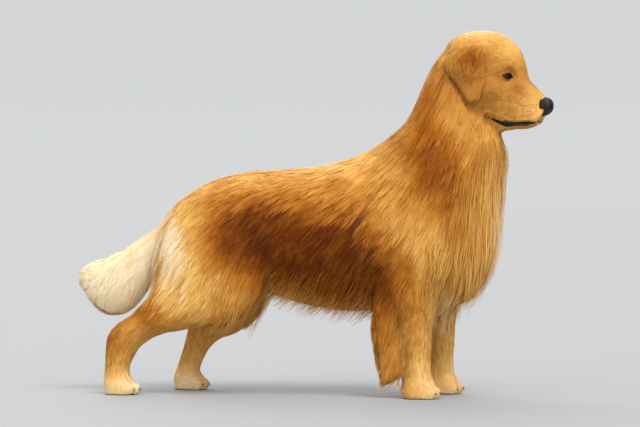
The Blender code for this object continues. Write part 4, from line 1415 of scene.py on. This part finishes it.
def joined_pieces(pieces, name):
    """The pieces as one object."""
    bpy.ops.object.select_all(action="DESELECT")
    for piece in pieces:
        piece.select_set(True)
    bpy.context.view_layer.objects.active = pieces[0]
    bpy.ops.object.join()
    joined = bpy.context.view_layer.objects.active
    joined.name = name
    joined.data.shade_smooth()
    return joined


def new_ball(name, segments, rings, radius):
    bpy.ops.object.select_all(action="DESELECT")
    bpy.ops.mesh.primitive_uv_sphere_add(segments=segments, ring_count=rings, radius=radius)
    ball = bpy.context.view_layer.objects.active
    ball.name = name
    return ball


def make_eye(side):
    """One eyeball, with a slightly raised cornea."""
    eye = new_ball(f"eyeball_{SIDES[side]}", segments=48, rings=32, radius=EYE_RADIUS)
    points = points_of(eye.data)
    off_axis = np.arccos(np.clip(points[:, 2] / EYE_RADIUS, -1, 1)) / (math.pi / 2)
    points += unit(points) * (0.0009 * hump(off_axis, 0, 0.45))[:, None]
    move_points(eye.data, points)
    store(eye.data, "off_axis", off_axis)
    placed = eye_frame(side)
    eye.data.transform(placed)
    if placed.determinant() < 0:
        eye.data.flip_normals()
    eye.data.shade_smooth()
    return eye


def make_lid_rim(side):
    """The dark edge of both lids, round the opening, thicker above than below."""
    turn = np.linspace(0, 2 * math.pi, 72, endpoint=False)
    x, y = lid_outline(turn)
    z = lid_height(np.hypot(x, y)) + np.where(y > 0, 0.0006, 0.0)
    places = from_eye_frame(np.stack([x, y, z], axis=1), side)
    thick = bpy.context.scene.retriever_face.rim * (1 + 0.40 * np.sin(turn))
    return swept_tube(f"lid_rim_{SIDES[side]}", places, thick, closed=True)


NOSE_HALF = np.array((0.021, 0.0190, 0.0235))  # half its size forwards, across and up


def make_nose():
    """The nose leather: a rounded block with two comma-shaped nostrils and a groove between them."""
    nose = new_ball("nose_leather", segments=96, rings=64, radius=1.0)
    points = points_of(nose.data)[:, [2, 0, 1]]
    x, y, z = points.T
    below = np.clip(-z, 0, 1)
    local = np.sign(points) * np.abs(points) ** np.array((0.72, 0.86, 0.80)) * NOSE_HALF
    # It narrows towards its foot, and slopes back there and at its top.
    local[:, 1] *= 1 + 0.10 * z - 0.30 * below**2
    local[:, 0] -= 0.010 * below**1.5 + 0.006 * np.clip(z, 0, 1) ** 3
    # The groove in the middle.
    front = np.clip(x, 0, 1) ** 0.5
    local[:, 0] -= 0.0022 * hump(y, 0, 0.09) * front * np.clip(0.45 - z, 0, 1)
    # Each nostril is a hole in front, with a slit that runs back from it and dips, under a raised wing.
    turn = np.arctan2(np.abs(y), x)
    hole = np.exp(-(((turn - 0.50) / 0.20) ** 4) - (((z + 0.08) / 0.22) ** 4))
    slit_rise = -0.20 - 0.12 * np.sin(climb(turn, 0.6, 1.1) * math.pi)
    slit = hump(z, slit_rise, 0.075) * climb(turn, 0.5, 0.2) * climb(turn, 2.0, -0.3)
    inward = unit(local * (1, 1, 0.6))
    local -= inward * (0.0070 * hole + 0.0032 * slit * (1 - hole))[:, None]
    wing = np.exp(-(((z + 0.02) / 0.20) ** 2) - (((turn - 1.05) / 0.35) ** 2))
    local += inward * (0.0014 * wing)[:, None]
    low, high = box_of("nose")
    middle = (low + high) / 2
    centre = np.array((high[0] - 0.0205, middle[1], middle[2] - 0.0040))
    move_points(nose.data, local @ HEAD_TURN.T + centre)
    # How deep each point lies in a nostril, read by the material as painted shade.
    store(nose.data, "deep", hole)
    nose.data.shade_smooth()
    return nose


CLAW_REACH = 0.0105
CLAW_DROP = 0.0075
CLAW_RADIUS = 0.0020
WHISKER_RADIUS = 0.00016


def make_claws():
    """All the claws: each a short curved point of horn that comes out of its toe."""
    names = [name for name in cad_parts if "claw" in name]
    share = np.linspace(0, 1, 10)[:, None]
    reach = np.array((CLAW_REACH, 0.0, 0.0))
    thick = CLAW_RADIUS * (1 - 0.85 * share[:, 0] ** 1.6)
    claws = []
    for name in names:
        low, high = box_of(name)
        root = np.array((low[0] - 0.006, (low[1] + high[1]) / 2, high[2] - 0.0035))
        places = root + share * reach + DOWN * CLAW_DROP * share**1.7
        claws.append(swept_tube(name, places, thick, closed=False))
    joined = joined_pieces(claws, "claws")
    dress(joined, claw_material())
    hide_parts(*names)
    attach(joined, ROOT)


def make_whiskers(skin):
    """A few fine whiskers on each side of the muzzle."""
    rng = np.random.default_rng(21)
    tree = tree_of(skin.data)
    along = np.linspace(0, 1, 7)[:, None]
    bend = HEAD_TURN @ np.array((-0.008, 0.0, -0.006))
    radii = WHISKER_RADIUS * (1 - 0.8 * along[:, 0])
    whiskers = []
    for side in SIDES:
        for x, z in WHISKER_ROOTS[1::2]:
            start = from_head_frame(np.array((x, 8.0 * side, z)) * CM)
            hit, normal = tree.ray_cast(Vector(start), HEAD.to_3x3() @ Vector((0, -side, 0)))[:2]
            way = HEAD_TURN @ unit(np.array((0.5 * rng.random(), side, -0.1 - 0.5 * rng.random())))
            places = np.array(hit) - np.array(normal) * 0.001 + along * way * (0.018 + 0.016 * rng.random())
            whiskers.append(swept_tube("whisker", places + bend * along**2, radii, closed=False))
    return joined_pieces(whiskers, "whiskers")


# ---- Operators -----------------------------------------------------------------------------------
class RETRIEVER_OT_skin(bpy.types.Operator):
    """Make the one skin, in place of the solids of the body"""

    bl_idname = "retriever.skin"
    bl_label = "Skin"

    def execute(self, context):
        skin = make_skin()
        state["skin"] = skin
        state["pelt"] = Pelt(skin)
        return {"FINISHED"}


class RETRIEVER_OT_eyes(bpy.types.Operator):
    """Make both eyeballs and the dark rims of the lids"""

    bl_idname = "retriever.eyes"
    bl_label = "Eyes"

    def execute(self, context):
        wet = eye_material()
        black = context.scene.retriever_face.lip_black
        dark = bare_skin_material("dark_skin", black, roughness=0.38, pebbles=900.0, bump_height=0.0002)
        for side, label in SIDES.items():
            eye = make_eye(side)
            dress(eye, wet)
            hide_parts(f"eye_{label}")
            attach(eye, ROOT)
            rim = make_lid_rim(side)
            dress(rim, dark)
            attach(rim, ROOT)
        return {"FINISHED"}


class RETRIEVER_OT_nose(bpy.types.Operator):
    """Make the nose leather and the whiskers"""

    bl_idname = "retriever.nose"
    bl_label = "Nose and whiskers"

    def execute(self, context):
        leather = context.scene.retriever_face.leather
        nose = make_nose()
        made = bare_skin_material("nose_leather", leather, roughness=0.46, pebbles=750.0, bump_height=0.0004)
        dress(nose, made)
        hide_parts("nose")
        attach(nose, ROOT)
        state["nose"] = tree_of(nose.data)
        whiskers = make_whiskers(state["skin"])
        dress(whiskers, bpy.data.materials["dark_skin"])
        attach(whiskers, ROOT)
        return {"FINISHED"}


class RETRIEVER_OT_claws(bpy.types.Operator):
    """Make the claws of horn"""

    bl_idname = "retriever.claws"
    bl_label = "Claws"

    def execute(self, context):
        make_claws()
        return {"FINISHED"}


def kinds(pelt, *words):
    """The skin's vertices that belong to the nodes with any of these words in their names."""
    wanted = [index for index, name in enumerate(SKIN_NODES) if any(word in name for word in words)]
    return np.isin(pelt.kind, wanted)


def away_from_features(pelt):
    """How far each vertex of the skin is from the nose and the opening of the lids, below 0 inside them."""
    away = np.full(len(pelt.points), FAR)
    for side in SIDES:
        away = np.minimum(away, inside_lids(pelt.points, side)[1])
    find = state["nose"].find_nearest
    near = np.flatnonzero(in_head_frame(pelt.points)[:, 0] > 0.04)
    for index in near:
        place, normal, _, distance = find(pelt.points[index])
        outside = (Vector(pelt.points[index]) - place).dot(normal)
        away[index] = min(away[index], distance if outside > 0 else -distance)
    return away


class RETRIEVER_OT_face_coat(bpy.types.Operator):
    """Grow the short hair of the head and the ears"""

    bl_idname = "retriever.face_coat"
    bl_label = "Coat of the head"

    def execute(self, context):
        pelt = state["pelt"]
        away = away_from_features(pelt)
        clear = (away > 0.0010) & (pelt.bare < 0.4)

        def shape(roots, growth, rng):
            local = in_head_frame(roots.points) / CM
            ahead = climb(local[:, 0], -2.0, 7.0)
            behind = climb(local[:, 0], -8.0, -6.0)
            below = climb(local[:, 2], -6.0, -5.0) * climb(local[:, 0], 2.0, -6.0)
            near = climb(away[roots.vertex], 0, 0.009, least=0.4)
            growth["length"] *= (1 - 0.45 * ahead) * (1 + 1.2 * np.maximum(below, behind)) * near
            growth["width"] *= (1 - 0.30 * ahead) * (0.5 + 0.5 * near)
            growth["depth"] = (0.0010 + 0.0020 * behind) * near

        head = kinds(pelt, "head", "lower_jaw") & clear
        ears = kinds(pelt, "ear")
        grow_coat(pelt, "coat_head", head, steps=2, seed=1, leading=0.16, shape=shape)
        grow_coat(pelt, "coat_ears", ears, steps=3, seed=2, leading=0.08, slot="deep_gold_coat")
        return {"FINISHED"}


class RETRIEVER_OT_body_coat(bpy.types.Operator):
    """Grow the long hair of the neck, trunk, shoulders and thighs"""

    bl_idname = "retriever.body_coat"
    bl_label = "Coat of the body"

    def execute(self, context):
        pelt = state["pelt"]
        x, _, z = pelt.points.T
        ahead, _, above = pelt.normals.T
        under = climb(above, -0.15, -0.5) * ((z > 0.19) & (z < 0.36) & (x < 0.42))
        front = climb(ahead, 0.15, 0.4) * climb(z, 0.66, -0.1) * ((x > 0.3) & (z > 0.24))
        breech = climb(ahead, -0.3, -0.4) * ((x < -0.25) & (z > 0.2))
        loose = np.maximum.reduce([under, front, breech])

        def hang(roots, growth, rng):
            at = roots.vertex
            growth["sag"] += 0.4 * under[at] + 0.2 * front[at] + 0.15 * breech[at]
            growth["hold"] -= 0.4 * under[at] + 0.2 * front[at] + 0.2 * breech[at]
            growth["stray"] += 0.005 * loose[at]
            growth["length"] *= 1 + 0.12 * loose[at]
            growth["tuck"] -= 0.32 * loose[at]

        def fringe(roots, growth, rng):
            hang(roots, growth, rng)
            at = roots.vertex
            growth["length"] *= 1.35 + 0.35 * under[at]
            growth["width"] *= 0.60 - 0.10 * under[at]
            growth["hold"] = 0.40 - 0.2 * loose[at]
            growth["sag"] += 0.2
            growth["wave"] *= 1.5
            growth["gather"] += 0.30
            farther = rng.random(len(at))[growth["leader"]] ** 1.6
            growth["stray"] += 0.004 + (0.017 + 0.022 * under[at]) * farther
            growth["paler"] += 0.03 * loose[at] + 0.22 * under[at]
            growth["start"] = unit(growth["start"] + 0.40 * pelt.normals[at])

        parts = ("neck", "trunk", "shoulder", "thigh")
        for seed, part in enumerate(parts, start=3):
            grow_coat(pelt, f"coat_{part}", kinds(pelt, part), steps=3, seed=seed, shape=hang)
        edges = kinds(pelt, *parts) & (loose > 0.35)
        grow_coat(pelt, "coat_fringe", edges, steps=4, seed=11, shape=fringe, thickness=0.30)
        return {"FINISHED"}


class RETRIEVER_OT_leg_coat(bpy.types.Operator):
    """Grow the short hair of the legs and paws, and the long feathering behind the forelegs"""

    bl_idname = "retriever.leg_coat"
    bl_label = "Coat of the legs"

    def execute(self, context):
        pelt = state["pelt"]
        feathers = kinds(pelt, "feather")
        legs = kinds(pelt, "foreleg", "hind_leg") & ~feathers
        paws = kinds(pelt, "paw") & (pelt.bare < 0.4)
        edge = (pelt.normals[:, 0] < -0.25) | (pelt.normals[:, 2] < -0.45)
        edge &= feathers & (pelt.points[:, 0] < 0.26)

        def feather(roots, growth, rng):
            rear = np.clip(-pelt.normals[roots.vertex][:, 0], 0, 1)
            growth["length"] *= climb(roots.points[:, 2], 0.005, 0.07, least=0.35)
            growth["hold"] = 0.6 - 0.35 * rear
            growth["stray"] += 0.004 * rear

        def wisps(roots, growth, rng):
            at = roots.vertex
            growth["length"] *= 1.1
            growth["width"] *= 0.65
            growth["hold"] = np.full(len(at), 0.30)
            growth["gather"] += 0.35
            growth["tuck"] *= 0.0
            growth["stray"] += 0.005 + 0.022 * rng.random(len(at))[growth["leader"]] ** 1.3
            growth["paler"] += 0.08
            growth["start"] = unit(growth["start"] + 0.5 * pelt.normals[at])

        cream = {"slot": "cream_coat"}
        grow_coat(pelt, "coat_legs", legs, steps=2, seed=7, leading=0.12)
        grow_coat(pelt, "coat_paws", paws, steps=2, seed=8, leading=0.15, **cream)
        grow_coat(pelt, "feather_forelegs", feathers, steps=4, seed=9, leading=0.12, shape=feather, **cream)
        grow_coat(pelt, "feather_wisps", edge, steps=4, seed=12, shape=wisps, thickness=0.9, **cream)
        return {"FINISHED"}


class RETRIEVER_OT_tail_coat(bpy.types.Operator):
    """Grow the long feather of the tail"""

    bl_idname = "retriever.tail_coat"
    bl_label = "Coat of the tail"

    def execute(self, context):
        pelt = state["pelt"]

        def plume(roots, growth, rng):
            normal = pelt.normals[roots.vertex]
            top, under = np.clip(normal[:, 2], 0, 1), np.clip(-normal[:, 2], 0, 1)
            to_tip = roots.points[:, 0] - pelt.points[:, 0].min()
            growth["length"] *= (1 - 0.40 * top) * climb(to_tip, 0, 0.11, least=0.22)
            growth["hold"] = 0.65 - 0.30 * under
            growth["stray"] += 0.004 * under

        grow_coat(pelt, "feather_tail", kinds(pelt, "tail"), steps=5, seed=10, slot="cream_coat", shape=plume)
        return {"FINISHED"}


def sun_light(light):
    """A soft light from far away."""
    data = bpy.data.lights.new(light.name, "SUN")
    data.energy = light.strength
    data.angle = math.radians(light.spread)
    data.color = light.tint
    link(light.name, data).rotation_euler = Vector(light.towards).to_track_quat("Z", "Y").to_euler()


def studio_world(stage):
    """Even light from all round, a little dimmer overhead than at the horizon."""
    world = bpy.data.worlds.new("studio")
    world.use_nodes = True
    background = world.node_tree.nodes["Background"]
    place = add_node(world, "ShaderNodeTexCoord").outputs["Generated"]
    height = add_node(world, "ShaderNodeSeparateXYZ", {"Vector": place}).outputs["Z"]
    level = add_node(
        world,
        "ShaderNodeMapRange",
        {"Value": height, "From Min": 0.0, "From Max": 0.45, "To Min": stage.horizon, "To Max": stage.zenith},
    )
    background.inputs["Color"].default_value = (0.96, 0.98, 1.0, 1.0)
    world.node_tree.links.new(level.outputs["Result"], background.inputs["Strength"])
    return world


class RETRIEVER_OT_stage(bpy.types.Operator):
    """Make the floor, the lights and the camera"""

    bl_idname = "retriever.stage"
    bl_label = "Stage"

    def execute(self, context):
        stage = context.scene.retriever_stage
        bpy.ops.object.select_all(action="DESELECT")
        bpy.ops.mesh.primitive_plane_add(size=FLOOR_SIZE, location=(0, 0, 0))
        floor = context.view_layer.objects.active
        floor.name = "studio_floor"
        made, shader = new_material("studio_floor", roughness=0.8, specular=0.1)
        shader.inputs["Base Color"].default_value = (*stage.floor, 1.0)
        dress(floor, made)
        context.scene.world = studio_world(stage)
        for light in LIGHTS:
            sun_light(light)
        data = bpy.data.cameras.new("camera")
        data.lens = stage.lens
        data.sensor_width = 36.0
        camera = link("camera", data)
        aim = Vector((stage.aim_ahead, 0.0, stage.aim_height))
        away = Vector((math.sin(stage.azimuth), -math.cos(stage.azimuth), 0.0)) * stage.distance
        camera.location = Vector((aim.x, aim.y, 0.0)) + away + Vector((0, 0, stage.height))
        camera.rotation_euler = (aim - camera.location).to_track_quat("-Z", "Y").to_euler()
        context.scene.camera = camera
        context.scene.view_settings.view_transform = "Standard"
        return {"FINISHED"}


class RETRIEVER_PT_panel(bpy.types.Panel):
    """The pieces of the dog, in the order in which they are made"""

    bl_label = "Golden Retriever"
    bl_idname = "RETRIEVER_PT_panel"
    bl_space_type = "VIEW_3D"
    bl_region_type = "UI"
    bl_category = "Retriever"

    def draw(self, context):
        column = self.layout.column(align=True)
        for operator in OPERATORS:
            column.operator(operator.bl_idname)
        for settings in SETTINGS:
            group = getattr(context.scene, settings)
            box = self.layout.box()
            for name in group.bl_rna.properties.keys():
                if name not in ("rna_type", "name"):
                    box.prop(group, name)


OPERATORS = (
    RETRIEVER_OT_skin,
    RETRIEVER_OT_eyes,
    RETRIEVER_OT_nose,
    RETRIEVER_OT_claws,
    RETRIEVER_OT_face_coat,
    RETRIEVER_OT_body_coat,
    RETRIEVER_OT_leg_coat,
    RETRIEVER_OT_tail_coat,
    RETRIEVER_OT_stage,
)
SETTINGS = {
    "retriever_coat": RetrieverCoatSettings,
    "retriever_skin": RetrieverSkinSettings,
    "retriever_face": RetrieverFaceSettings,
    "retriever_stage": RetrieverStageSettings,
}


def register():
    for name, group in SETTINGS.items():
        bpy.utils.register_class(group)
        setattr(bpy.types.Scene, name, PointerProperty(type=group))
    for kind in (*OPERATORS, RETRIEVER_PT_panel):
        bpy.utils.register_class(kind)


def unregister():
    for kind in reversed((*OPERATORS, RETRIEVER_PT_panel)):
        bpy.utils.unregister_class(kind)
    for name, group in SETTINGS.items():
        delattr(bpy.types.Scene, name)
        bpy.utils.unregister_class(group)


def main():
    register()
    bpy.ops.retriever.skin()
    bpy.ops.retriever.eyes()
    bpy.ops.retriever.nose()
    bpy.ops.retriever.claws()
    bpy.ops.retriever.face_coat()
    bpy.ops.retriever.body_coat()
    bpy.ops.retriever.leg_coat()
    bpy.ops.retriever.tail_coat()
    bpy.ops.retriever.stage()


if __name__ == "__main__":
    main()
